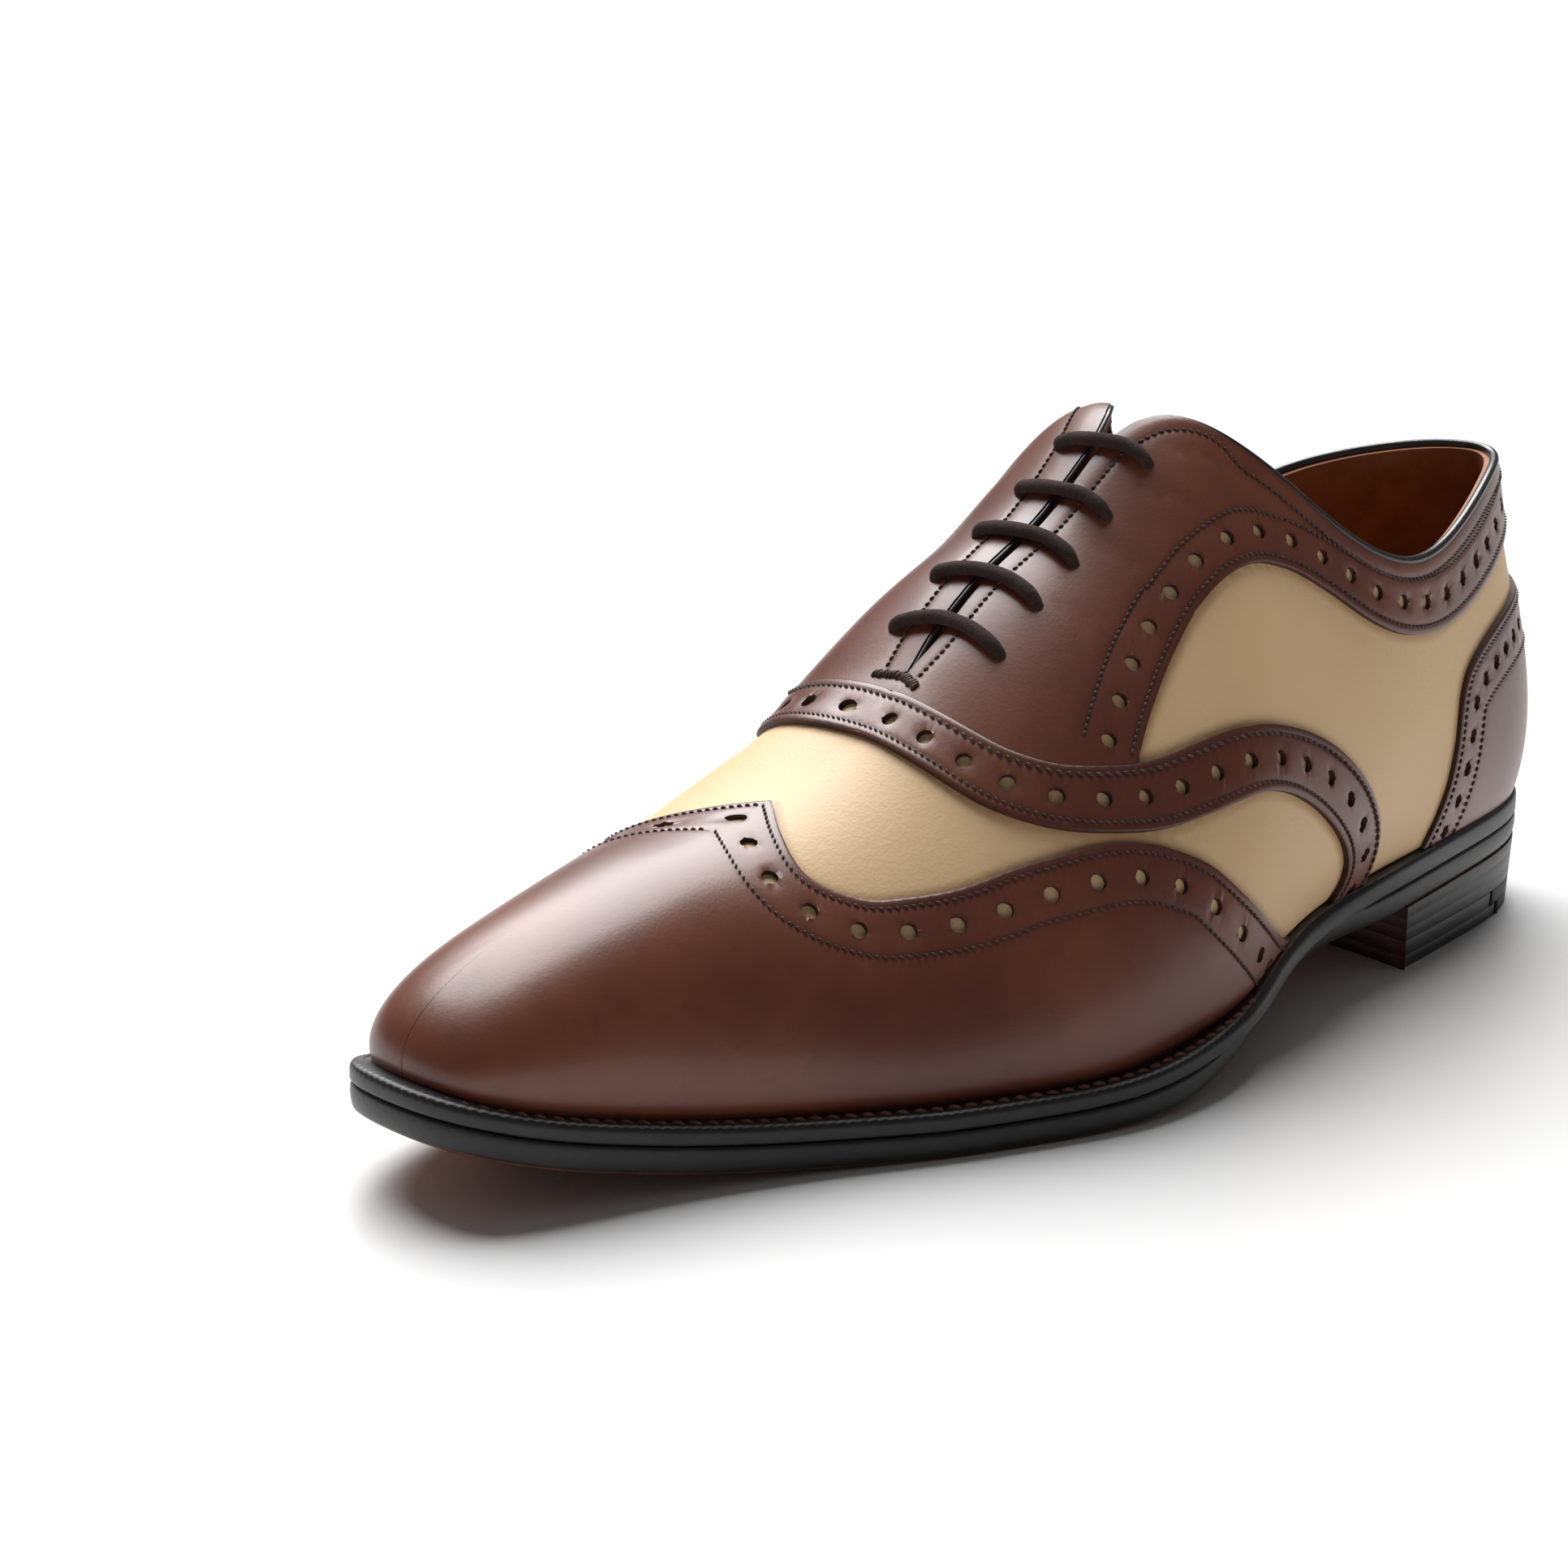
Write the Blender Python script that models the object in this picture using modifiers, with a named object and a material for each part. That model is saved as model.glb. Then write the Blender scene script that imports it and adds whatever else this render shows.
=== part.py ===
# Spectator shoe, left foot: a welted lace-up with a wing cap, a punched vamp strip,
# closed facings over a tongue, a counter, and a stacked leather heel.
#
# Everything is worked out in the shoe's own frame: x runs from the back of the heel to the
# toe, y to the outer (little toe) side, z up from the floor. One empty then turns the shoe
# so that its toe points along -X, and puts the middle of its box over the origin.

import math

import bmesh
import bpy
import numpy as np
from mathutils.geometry import delaunay_2d_cdt

MM = 0.001

# Driving dimensions, in metres
LENGTH = 301 * MM  # outsole, back of the heel to the tip of the toe
BALL_WIDTH = 105 * MM  # outsole, across the ball
HEEL_WIDTH = 60 * MM  # outsole, across the heel
BACK_HEIGHT = 70 * MM  # collar at the back seam, above the welt
INSTEP_HEIGHT = 100 * MM  # top of the facings, above the welt
TOE_HEIGHT = 28 * MM  # toe box, above the welt
HEEL_HEIGHT = 15 * MM  # floor to the outsole, at the back
TOE_SPRING = 13.5 * MM  # floor to the outsole, at the tip of the toe
SOLE_THICKNESS = 5 * MM
WELT_THICKNESS = 3.3 * MM  # at the forepart
RAND_THICKNESS = 4.4 * MM  # the welt's thicker run round the heel
WELT_REACH = 6 * MM  # outsole edge beyond the foot of the upper, at the forepart
WALL = 2 * MM  # upper leather with its lining
MARGIN = 7 * MM  # upper turned in under the insole
OVERLAY = 1.2 * MM  # thickness of a stitched-on panel
GAP = 0.3 * MM  # clearance between pieces that touch
INSOLE_THICKNESS = 2.5 * MM
INSOLE_CLEARANCE = 1.2 * MM  # insole edge to the upper's inner face
TONGUE_THICKNESS = 1.8 * MM
TONGUE_CLEARANCE = 1 * MM
SLIT_WIDTH = 3 * MM  # between the two facings
STRIP_WIDTH = 12.5 * MM  # vamp strip
STRAP_WIDTH = 6.5 * MM  # strap over the back seam
LACE_WIDTH = 3.2 * MM
BINDING_WIDTH = 2.2 * MM  # bead round the collar
WAIST_BEVEL = 4.5 * MM  # how far the outsole's underside is cut back at the waist
HEEL_LENGTH = 70 * MM  # back of the heel to its breast
HEEL_TAPER = 1.6 * MM  # each side of the heel, outsole to floor
BREAST_HOLLOW = 3 * MM  # how far the breast curves in
TOP_PIECE_THICKNESS = 6 * MM
RUBBER_LENGTH = 19 * MM  # back of the heel to the joint of the rubber corner
RUBBER_SLANT = 13 * MM  # how much further forward the joint lies on the outer side

# Sole line: height of the outsole's underside along the shoe.
# x: share of LENGTH, heel: share of HEEL_HEIGHT, spring: share of TOE_SPRING
SOLE_LINE = [
    # x,   heel, spring
    (0.00, 1.00, 0.00),
    (0.13, 0.95, 0.00),
    (0.24, 0.88, 0.00),
    (0.30, 0.79, 0.00),
    (0.35, 0.68, 0.00),
    (0.40, 0.55, 0.00),
    (0.45, 0.41, 0.00),
    (0.50, 0.26, 0.00),
    (0.55, 0.12, 0.00),
    (0.60, 0.03, 0.00),
    (0.64, 0.00, 0.00),
    (0.71, 0.00, 0.00),
    (0.76, 0.00, 0.04),
    (0.81, 0.00, 0.12),
    (0.86, 0.00, 0.26),
    (0.91, 0.00, 0.47),
    (0.95, 0.00, 0.68),
    (1.00, 0.00, 1.00),
]

# The last: a fan of sections, from the back seam round the outer side to the toe. The inner
# side has the same rows with its own widths. Each section is one cubic curve that rises from
# the foot of the upper to its top line: the collar, the edge of a facing or the ridge.
# x, tx: shares of LENGTH for the sole edge and the top line
# lat, med, tlat, tmed: outer and inner half widths there, shares of the local width
# inset: sole edge to foot of the upper, share of WELT_REACH
# out, up: first handle, outwards (share of local width) and up (share of the section's rise)
# tall, tallm: top line above the welt on the two sides, shares of the local height
# over, overm, down: last handle, outwards on the two sides, and down
COLUMNS = "x lat med inset out up tx tlat tmed tall tallm over overm down".split()
SECTIONS = [
    (0.000, -0.083, 0.083, 0.30, 0.10, 0.32, 0.030, -0.033, 0.033, 1.01, 1.01, 0.05, 0.05, 0.36),
    (0.016, 0.142, 0.305, 0.30, 0.10, 0.32, 0.040, 0.067, 0.125, 1.00, 1.015, 0.05, 0.05, 0.36),
    (0.066, 0.325, 0.483, 0.32, 0.10, 0.32, 0.080, 0.192, 0.242, 0.97, 1.015, 0.06, 0.06, 0.36),
    (0.153, 0.450, 0.540, 0.36, 0.09, 0.32, 0.153, 0.350, 0.417, 0.89, 0.965, 0.06, 0.06, 0.34),
    (0.246, 0.525, 0.530, 0.45, 0.12, 0.32, 0.233, 0.440, 0.455, 0.815, 0.86, 0.05, 0.05, 0.32),
    (0.332, 0.480, 0.385, 0.60, 0.20, 0.30, 0.306, 0.350, 0.357, 0.835, 0.858, 0.06, 0.22, 0.27),
    (0.405, 0.480, 0.330, 0.70, 0.16, 0.28, 0.362, 0.210, 0.210, 0.93, 0.94, 0.08, 0.38, 0.16),
    (0.468, 0.520, 0.350, 0.85, 0.10, 0.28, 0.412, 0.047, 0.047, 0.97, 0.97, 0.16, 0.47, 0.02),
    (0.532, 0.550, 0.400, 1.00, 0.08, 0.28, 0.478, 0.000, 0.000, 0.89, 0.89, 0.20, 0.48, 0.01),
    (0.591, 0.550, 0.435, 1.00, 0.07, 0.28, 0.538, 0.000, 0.000, 0.893, 0.893, 0.24, 0.44, 0.02),
    (0.651, 0.508, 0.450, 1.00, 0.06, 0.28, 0.605, 0.000, 0.000, 0.86, 0.86, 0.26, 0.43, 0.05),
    (0.711, 0.450, 0.435, 1.00, 0.055, 0.29, 0.658, 0.000, 0.000, 0.855, 0.855, 0.25, 0.46, 0.05),
    (0.771, 0.378, 0.375, 1.00, 0.05, 0.32, 0.709, 0.000, 0.000, 0.93, 0.93, 0.24, 0.44, 0.03),
    (0.831, 0.315, 0.298, 0.98, 0.05, 0.36, 0.761, 0.000, 0.000, 1.06, 1.06, 0.21, 0.35, 0.02),
    (0.890, 0.265, 0.258, 0.96, 0.05, 0.40, 0.807, 0.000, 0.000, 1.18, 1.18, 0.18, 0.25, 0.02),
    (0.944, 0.222, 0.228, 0.94, 0.05, 0.42, 0.850, 0.000, 0.000, 1.185, 1.185, 0.15, 0.17, 0.02),
    (0.987, 0.145, 0.140, 0.92, 0.05, 0.42, 0.887, 0.000, 0.000, 1.053, 1.053, 0.13, 0.14, 0.02),
    (1.000, 0.008, -0.008, 0.92, 0.05, 0.42, 0.904, 0.000, 0.000, 0.962, 0.962, 0.12, 0.12, 0.02),
]
TOE_ROW = len(SECTIONS) - 1
PERIOD = 2 * TOE_ROW
THROAT_ROW = 10  # the slit between the facings ends here
CREST_ROW = 7  # the top front corner of the facings

# Pattern lines, in pattern coordinates: (row of the fan, share of the way up the section).
# They give the outer side. The inner side is the same pattern turned over.
FEATHER = 0.07  # where the panels stop above the welt
WING_EDGE = [
    (5.70, FEATHER), (6.35, 0.083), (6.89, 0.150), (7.34, 0.218), (7.84, 0.304), (8.32, 0.363),
    (8.71, 0.398), (9.32, 0.445), (9.91, 0.490), (10.51, 0.521), (11.02, 0.554), (11.54, 0.595),
    (12.11, 0.705), (12.21, 0.855), (12.05, 1.0),
]
STRIP_EDGE = [
    (10.10, 1.0), (9.95, 0.855), (9.68, 0.698), (9.36, 0.600), (9.02, 0.545), (8.57, 0.505),
    (8.01, 0.474), (7.40, 0.435), (6.95, 0.415), (6.50, 0.413), (6.06, 0.421), (5.67, 0.419),
    (5.29, 0.393), (4.97, 0.344), (4.74, 0.280), (4.57, 0.206), (4.47, 0.110), (4.42, FEATHER),
]
BAND_EDGE = [
    (8.48, 0.506), (8.22, 0.545), (7.85, 0.579), (7.49, 0.599), (7.14, 0.612), (6.74, 0.633),
    (6.24, 0.681), (5.76, 0.734), (5.18, 0.770), (4.64, 0.772), (4.00, 0.762), (3.33, 0.750),
    (2.68, 0.761), (1.98, 0.787), (1.24, 0.812), (0.00, 0.830),
]
COUNTER_EDGE = [
    (3.50, FEATHER), (3.36, 0.174), (3.27, 0.323), (3.21, 0.474), (3.03, 0.565), (2.46, 0.617),
    (1.32, 0.638), (0.00, 0.655),
]
EYELETS = [(7.28, 0.86), (7.79, 0.86), (8.31, 0.85), (8.87, 0.835), (9.34, 0.82)]
INNER_EYELETS = [(7.44, 0.94), (7.87, 0.925), (8.42, 0.915), (9.04, 0.92), (9.54, 0.92)]

# The faceted upper: its columns round the shoe and its levels up each section
COLUMN_STEP = 0.5
LEVELS = [0.0, 0.07, 0.16, 0.27, 0.39, 0.51, 0.63, 0.75, 0.88, 1.0]
UNJOINED = 0.9975  # where the facings stop short of each other, below the slit
FLAT_SCALE = 6.0  # how much a section's height is stretched when a pattern is laid flat


def smooth(low, high, x):
    u = np.clip((np.asarray(x, float) - low) / (high - low), 0, 1)
    return u * u * (3 - 2 * u)


def local_width(x):
    return HEEL_WIDTH + (BALL_WIDTH - HEEL_WIDTH) * smooth(0.20, 0.50, x)


def local_height(x):
    rear = BACK_HEIGHT + (INSTEP_HEIGHT - BACK_HEIGHT) * smooth(0.18, 0.42, x)
    return rear + (TOE_HEIGHT - rear) * smooth(0.40, 0.88, x)


def monotone(xs, ys, x):
    """Cubic through the points that never overshoots them."""
    xs, ys = np.asarray(xs, float), np.asarray(ys, float)
    h = np.diff(xs)
    d = np.diff(ys) / h
    slope = np.zeros_like(xs)
    for i in range(1, len(xs) - 1):
        if d[i - 1] * d[i] > 0:
            a, b = 2 * h[i] + h[i - 1], h[i] + 2 * h[i - 1]
            slope[i] = (a + b) / (a / d[i - 1] + b / d[i])
    slope[0], slope[-1] = d[0], d[-1]
    x = np.clip(np.asarray(x, float), xs[0], xs[-1])
    k = np.clip(np.searchsorted(xs, x, side="right") - 1, 0, len(h) - 1)
    u = (x - xs[k]) / h[k]
    return (
        (1 + 2 * u) * (1 - u) ** 2 * ys[k]
        + u * (1 - u) ** 2 * h[k] * slope[k]
        + u * u * (3 - 2 * u) * ys[k + 1]
        + u * u * (u - 1) * h[k] * slope[k + 1]
    )


def sole_bottom(x):
    xs, heel, spring = zip(*SOLE_LINE)
    return HEEL_HEIGHT * monotone(xs, heel, x) + TOE_SPRING * monotone(xs, spring, x)


def sole_top(x):
    return sole_bottom(x) + SOLE_THICKNESS


def welt_top(x):
    rand = smooth(0.20, 0.55, x)
    return sole_top(x) + GAP + RAND_THICKNESS + (WELT_THICKNESS - RAND_THICKNESS) * rand


def closed_bends(points):
    """Second derivatives of the closed cubic spline through the points."""
    n = len(points)
    matrix = 4 * np.eye(n) + np.roll(np.eye(n), 1, 0) + np.roll(np.eye(n), -1, 0)
    turned = np.roll(points, -1, 0) - 2 * points + np.roll(points, 1, 0)
    return np.linalg.solve(matrix, 6 * turned)


def closed_spline(points, bends, t):
    t = np.asarray(t, float) % len(points)
    i = np.floor(t).astype(int) % len(points)
    j = (i + 1) % len(points)
    u = (t - np.floor(t))[..., None]
    a = 1 - u
    return a * points[i] + u * points[j] + ((a**3 - a) * bends[i] + (u**3 - u) * bends[j]) / 6


class Last:
    """The last's surface over pattern coordinates: row t of the fan, share s of the rise."""

    def __init__(self):
        table = {name: np.array(column) for name, column in zip(COLUMNS, zip(*SECTIONS))}
        edge, top, handles = [], [], []
        for row in range(PERIOD):
            outer = row <= TOE_ROW
            i = row if outer else PERIOD - row
            r = {name: column[i] for name, column in table.items()}
            width, top_width = local_width(r["x"]), local_width(r["tx"])
            y = r["lat"] * width if outer else -r["med"] * width
            edge.append((r["x"] * LENGTH, y))
            top_y = r["tlat"] * top_width if outer else -r["tmed"] * top_width
            rise = (r["tall"] if outer else r["tallm"]) * local_height(r["tx"])
            top.append((r["tx"] * LENGTH, top_y, rise + welt_top(r["tx"])))
            over = r["over"] if outer else r["overm"]
            handles.append((r["inset"], r["out"] * width, r["up"], over * width, r["down"]))
        self.knots = [np.array(rows) for rows in (edge, top, handles)]
        self.bends = [closed_bends(rows) for rows in self.knots]

    def edge(self, t):
        return closed_spline(self.knots[0], self.bends[0], t)

    def outwards(self, t):
        along = self.edge(np.asarray(t) + 1e-3) - self.edge(np.asarray(t) - 1e-3)
        normal = np.stack([-along[..., 1], along[..., 0]], -1)
        return normal / np.linalg.norm(normal, axis=-1, keepdims=True)

    def inset_edge(self, t, inset):
        return self.edge(t) - self.outwards(t) * inset

    def foot(self, t):
        inset = closed_spline(self.knots[2], self.bends[2], t)[..., 0:1] * WELT_REACH
        flat = self.inset_edge(t, inset)
        height = welt_top(flat[..., 0] / LENGTH) + GAP
        return np.concatenate([flat, height[..., None]], -1)

    def top(self, t):
        point = closed_spline(self.knots[1], self.bends[1], t)
        across = closed_spline(self.knots[1], self.bends[1], PERIOD - np.asarray(t, float))
        row = np.asarray(t, float) % PERIOD
        row = np.minimum(row, PERIOD - row)
        alike = 0.5 * smooth(CREST_ROW - 1, CREST_ROW, row)[..., None]
        point += (across - point) * alike * (1, 0, 1)
        side = np.where(np.asarray(t, float) % PERIOD <= TOE_ROW, 1.0, -1.0)
        opening = SLIT_WIDTH / 2 * (1 - smooth(THROAT_ROW - 0.5, THROAT_ROW, row))
        front = row > CREST_ROW
        half = np.maximum(side * point[..., 1], opening)
        half = np.where(row >= THROAT_ROW, 0.0, half)
        point[..., 1] = np.where(front, side * half, point[..., 1])
        return point

    def ridge_slope(self, t):
        """How the ridge rises along the shoe, near this row, and how far the row is on it."""
        row = TOE_ROW - np.abs(np.asarray(t, float) % PERIOD - TOE_ROW)
        near = np.clip(row, THROAT_ROW - 1, TOE_ROW - 0.6)
        run = self.top(near + 0.5) - self.top(near - 0.5)
        return run[..., 2] / run[..., 0], smooth(THROAT_ROW, THROAT_ROW + 2, row)

    def point(self, t, s):
        t, s = np.broadcast_arrays(np.asarray(t, float), np.asarray(s, float))
        foot, top, normal = self.foot(t), self.top(t), self.outwards(t)
        handle = closed_spline(self.knots[2], self.bends[2], t)
        rise = (top[..., 2] - foot[..., 2])[..., None]
        low, high = foot.copy(), top.copy()
        low[..., :2] += normal * handle[..., 1:2]
        low[..., 2:] += handle[..., 2:3] * rise
        high[..., :2] += normal * handle[..., 3:4]
        slope, share = self.ridge_slope(t)
        level_off = slope * normal[..., 0] * handle[..., 3]
        drop = -handle[..., 4] * rise[..., 0]
        high[..., 2] += drop + (level_off - drop) * share
        s = s[..., None]
        a = 1 - s
        return a**3 * foot + 3 * a * a * s * low + 3 * a * s * s * high + s**3 * top

    def normal(self, t, s):
        """Outward normal. On the ridge it is the mean of the two sides' normals."""
        t, s = np.broadcast_arrays(np.asarray(t, float), np.asarray(s, float))
        step = 1e-3
        toe = smooth(TOE_ROW - 2, TOE_ROW, TOE_ROW - np.abs(t % PERIOD - TOE_ROW))
        inner = np.clip(s, step, 1 - step - 0.05 * toe)
        along = self.point(t + step, inner) - self.point(t - step, inner)
        up = self.point(t, inner + step) - self.point(t, inner - step)
        normal = np.cross(up, along)
        ridge = (s > 1 - step) & (np.abs(t % PERIOD - TOE_ROW) <= TOE_ROW - CREST_ROW)
        normal[..., 1] = np.where(ridge, 0.0, normal[..., 1])
        return normal / np.linalg.norm(normal, axis=-1, keepdims=True)


LAST = Last()
GRID_T = np.arange(0, PERIOD, COLUMN_STEP)
GRID_POINTS = LAST.point(GRID_T[:, None], np.array(LEVELS)[None, :])
GRID_NORMALS = LAST.normal(GRID_T[:, None], np.array(LEVELS)[None, :])


def on_facets(t, s, lift):
    """A point over the faceted upper, so that a panel laid on it follows its facets."""
    column = (t % PERIOD) / COLUMN_STEP
    i = int(column)
    j = min(int(np.searchsorted(LEVELS, s, side="right")) - 1, len(LEVELS) - 2)
    a = column - i
    b = (s - LEVELS[j]) / (LEVELS[j + 1] - LEVELS[j])
    k = (i + 1) % len(GRID_T)
    result = []
    for grid in (GRID_POINTS, GRID_NORMALS):
        p00, p10, p01, p11 = grid[i, j], grid[k, j], grid[i, j + 1], grid[k, j + 1]
        if a + b <= 1:
            result.append(p00 + a * (p10 - p00) + b * (p01 - p00))
        else:
            result.append(p11 + (1 - a) * (p01 - p11) + (1 - b) * (p10 - p11))
    return result[0] + result[1] * lift


def smooth_path(points, steps):
    """Catmull-Rom curve through the points, with this many steps between two of them."""
    p = [np.array(point, float) for point in points]
    p = [2 * p[0] - p[1]] + p + [2 * p[-1] - p[-2]]
    path = []
    for k in range(1, len(p) - 2):
        for u in np.arange(steps) / steps:
            a = 2 * p[k] + (p[k + 1] - p[k - 1]) * u
            b = (2 * p[k - 1] - 5 * p[k] + 4 * p[k + 1] - p[k + 2]) * u * u
            c = (3 * p[k] - p[k - 1] - 3 * p[k + 1] + p[k + 2]) * u**3
            path.append((a + b + c) / 2)
    return np.array(path + [p[-2]])


def beside(path, distance):
    """The pattern line that runs this far to the right of a pattern line, on the last."""
    step = 1e-3
    t, s = path[:, 0], np.clip(path[:, 1], 2 * step, 1 - 2 * step)
    along_t = (LAST.point(t + step, s) - LAST.point(t - step, s)) / (2 * step)
    along_s = (LAST.point(t, s + step) - LAST.point(t, s - step)) / (2 * step)
    run = np.gradient(path, axis=0)
    tangent = along_t * run[:, :1] + along_s * run[:, 1:]
    tangent /= np.linalg.norm(tangent, axis=1, keepdims=True)
    aside = np.cross(tangent, LAST.normal(t, s)) * distance
    moved = []
    for k in range(len(path)):
        basis = np.column_stack([along_t[k], along_s[k]])
        moved.append(path[k] + np.linalg.lstsq(basis, aside[k], rcond=None)[0])
    moved = np.array(moved)
    moved[:, 1] = np.minimum(moved[:, 1], 1.0)
    end = int(np.argmax(moved[:, 1] <= FEATHER)) or len(moved) - 1
    before, last = moved[end - 1], moved[end]
    share = (before[1] - FEATHER) / (before[1] - last[1])
    return np.concatenate([moved[:end], [before + (last - before) * share]])


def turned_over(path):
    """The same pattern line on the inner side."""
    return np.column_stack([PERIOD - path[:, 0], path[:, 1]])


def material(name, colour, roughness, coat=0.0):
    made = bpy.data.materials.new(name)
    made.use_nodes = True
    shader = made.node_tree.nodes["Principled BSDF"]
    linear = [((c / 255 + 0.055) / 1.055) ** 2.4 for c in colour]
    shader.inputs["Base Color"].default_value = (*linear, 1)
    shader.inputs["Roughness"].default_value = roughness
    shader.inputs["Metallic"].default_value = 0.0
    shader.inputs["Coat Weight"].default_value = coat
    made.diffuse_color = (*linear, 1)
    return made


def add_object(name, mesh, surface):
    made = bpy.data.objects.new(name, mesh)
    mesh.materials.append(surface)
    mesh.shade_smooth()
    mesh.set_sharp_from_angle(angle=math.radians(40))
    SHOE.objects.link(made)
    made.parent = STAND
    return made


def mesh_of(name, points, faces):
    mesh = bpy.data.meshes.new(name)
    mesh.from_pydata([tuple(p) for p in points], [], faces)
    shape = bmesh.new()
    shape.from_mesh(mesh)
    bmesh.ops.remove_doubles(shape, verts=shape.verts, dist=1e-6)
    shape.to_mesh(mesh)
    shape.free()
    return mesh


def thicken(made, thickness, offset, even=True):
    solid = made.modifiers.new("Thickness", "SOLIDIFY")
    solid.thickness = thickness
    solid.offset = offset
    solid.use_even_offset = even
    return made


def add_upper(surface):
    """The whole upper: wall, and the margin that turns in under the insole."""
    count = len(GRID_T)
    corner = LAST.foot(GRID_T)
    rings = [GRID_POINTS[:, j] for j in range(len(LEVELS))]
    for share in (0.5, 1.0):
        ring = corner.copy()
        ring[:, :2] -= LAST.outwards(GRID_T) * MARGIN * share
        ring[:, 2] = welt_top(ring[:, 0] / LENGTH) + GAP
        rings.insert(0, ring)
    faces = []
    for j in range(len(rings) - 1):
        for i in range(count):
            k = (i + 1) % count
            a, b, c, d = j * count + i, j * count + k, (j + 1) * count + i, (j + 1) * count + k
            faces += [(a, c, b), (d, b, c)]
    made = add_object("upper", mesh_of("upper", np.concatenate(rings), faces), surface)
    return thicken(made, WALL, -1)


def cut_out(points, edges, count, close):
    """Triangles over the outline that the first points make, with the edges drawn in."""
    ends = np.array(points[:count])
    after = np.roll(ends, -1, 0)
    area = np.sum(ends[:, 0] * after[:, 1] - after[:, 0] * ends[:, 1])
    order = list(range(count)) if area > 0 else list(range(count))[::-1]
    cut = delaunay_2d_cdt(points, edges, [order], 1, close)
    inside = [face for face, source in zip(cut[2], cut[5]) if source]
    used = sorted({i for face in inside for i in face})
    place = {i: k for k, i in enumerate(used)}
    flat = [tuple(cut[0][i]) for i in used]
    return flat, [tuple(place[i] for i in face) for face in inside]


def add_panel(name, outline, surface):
    """A panel: its pattern cut flat along the upper's facet lines, then laid on the last."""
    outline = [tuple(p) for p in outline]
    low, high = min(p[0] for p in outline), max(p[0] for p in outline)
    points = [(t, s * FLAT_SCALE) for t, s in outline]
    edges = []

    def line(t0, s0, t1, s1):
        edges.append((len(points), len(points) + 1))
        points.extend([(t0, s0 * FLAT_SCALE), (t1, s1 * FLAT_SCALE)])

    first, last = math.floor(low / COLUMN_STEP), math.ceil(high / COLUMN_STEP)
    for s in LEVELS[1:-1]:
        line(first * COLUMN_STEP, s, last * COLUMN_STEP, s)
    for i in range(first, last + 1):
        t = i * COLUMN_STEP
        line(t, 0, t, 1)
        if i < last:
            for s0, s1 in zip(LEVELS, LEVELS[1:]):
                line(t + COLUMN_STEP, s0, t, s1)
    flat, inside = cut_out(points, edges, len(outline), 1e-5)
    laid = [on_facets(p[0], min(p[1] / FLAT_SCALE, 1.0), GAP) for p in flat]
    mesh = mesh_of(name, laid, [tuple(reversed(face)) for face in inside])
    return thicken(add_object(name, mesh, surface), OVERLAY, 1, even=False)


def sweep(name, path, width, surface, resolution=2):
    """A round cord along a path."""
    curve = bpy.data.curves.new(name, "CURVE")
    curve.dimensions = "3D"
    curve.bevel_depth = width / 2
    curve.bevel_resolution = resolution
    curve.use_fill_caps = True
    spline = curve.splines.new("POLY")
    spline.points.add(len(path) - 1)
    for point, place in zip(spline.points, path):
        point.co = (*place, 1)
    made = bpy.data.objects.new(name, curve)
    curve.materials.append(surface)
    SHOE.objects.link(made)
    made.parent = STAND
    return made


def add_plate(name, outline, low, high, taper, surface, stations):
    """A closed plate over a flat outline, between two heights along the shoe. The taper,
    a length along the shoe too, draws its underside in."""
    count = len(outline)
    points = [tuple(p) for p in outline]
    edges = []
    reach = max(abs(p[1]) for p in outline) + 10 * MM
    for x in stations:
        edges.append((len(points), len(points) + 1))
        points += [(x, -reach), (x, reach)]
    flat, inside = cut_out(points, edges, count, 1e-7)
    flat = np.array(flat)
    shape = bmesh.new()
    x = flat[:, 0] / LENGTH
    under = [shape.verts.new((p[0], p[1], z)) for p, z in zip(flat, low(x))]
    over = [shape.verts.new((p[0], p[1], z)) for p, z in zip(flat, high(x))]
    for face in inside:
        shape.faces.new([over[i] for i in face])
        shape.faces.new([under[i] for i in reversed(face)])
    rims = [edge for edge in shape.edges if edge.is_boundary]
    pair = {v: w for v, w in zip(under, over)}
    for edge in rims:
        if edge.verts[0] in pair:
            loop = edge.link_loops[0]
            a, b = loop.vert, loop.link_loop_next.vert
            shape.faces.new([b, a, pair[a], pair[b]])
    shape.normal_update()
    moves = {}
    for v in under:
        sides = [f.normal for f in v.link_faces if abs(f.normal.z) < 0.5]
        if sides:
            away = sum(sides[1:], sides[0].copy())
            away.z = 0
            moves[v] = away.normalized() * float(taper(v.co.x / LENGTH))
    for v, move in moves.items():
        v.co -= move
    mesh = bpy.data.meshes.new(name)
    shape.to_mesh(mesh)
    shape.free()
    return add_object(name, mesh, surface)


def ring_plate(name, outer, inner, low, high, surface):
    """A flat ring between two outlines, such as the welt."""
    count = len(outer)
    rings = []
    for flat, height in ((outer, low), (outer, high), (inner, high), (inner, low)):
        rings.append(np.column_stack([flat, height(flat[:, 0] / LENGTH)]))
    faces = []
    for ring in range(4):
        for i in range(count):
            k = (i + 1) % count
            a, b = ring * count, (ring + 1) % 4 * count
            faces.append((a + i, b + i, b + k, a + k))
    return add_object(name, mesh_of(name, np.concatenate(rings), faces), surface)


def bevel(x):
    """How far the outsole's underside is drawn in: a little all round, more at the waist."""
    return 0.4 * MM + WAIST_BEVEL * smooth(0.24, 0.36, x) * (1 - smooth(0.44, 0.56, x))


def level(height):
    return lambda x: height + 0 * x


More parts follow.
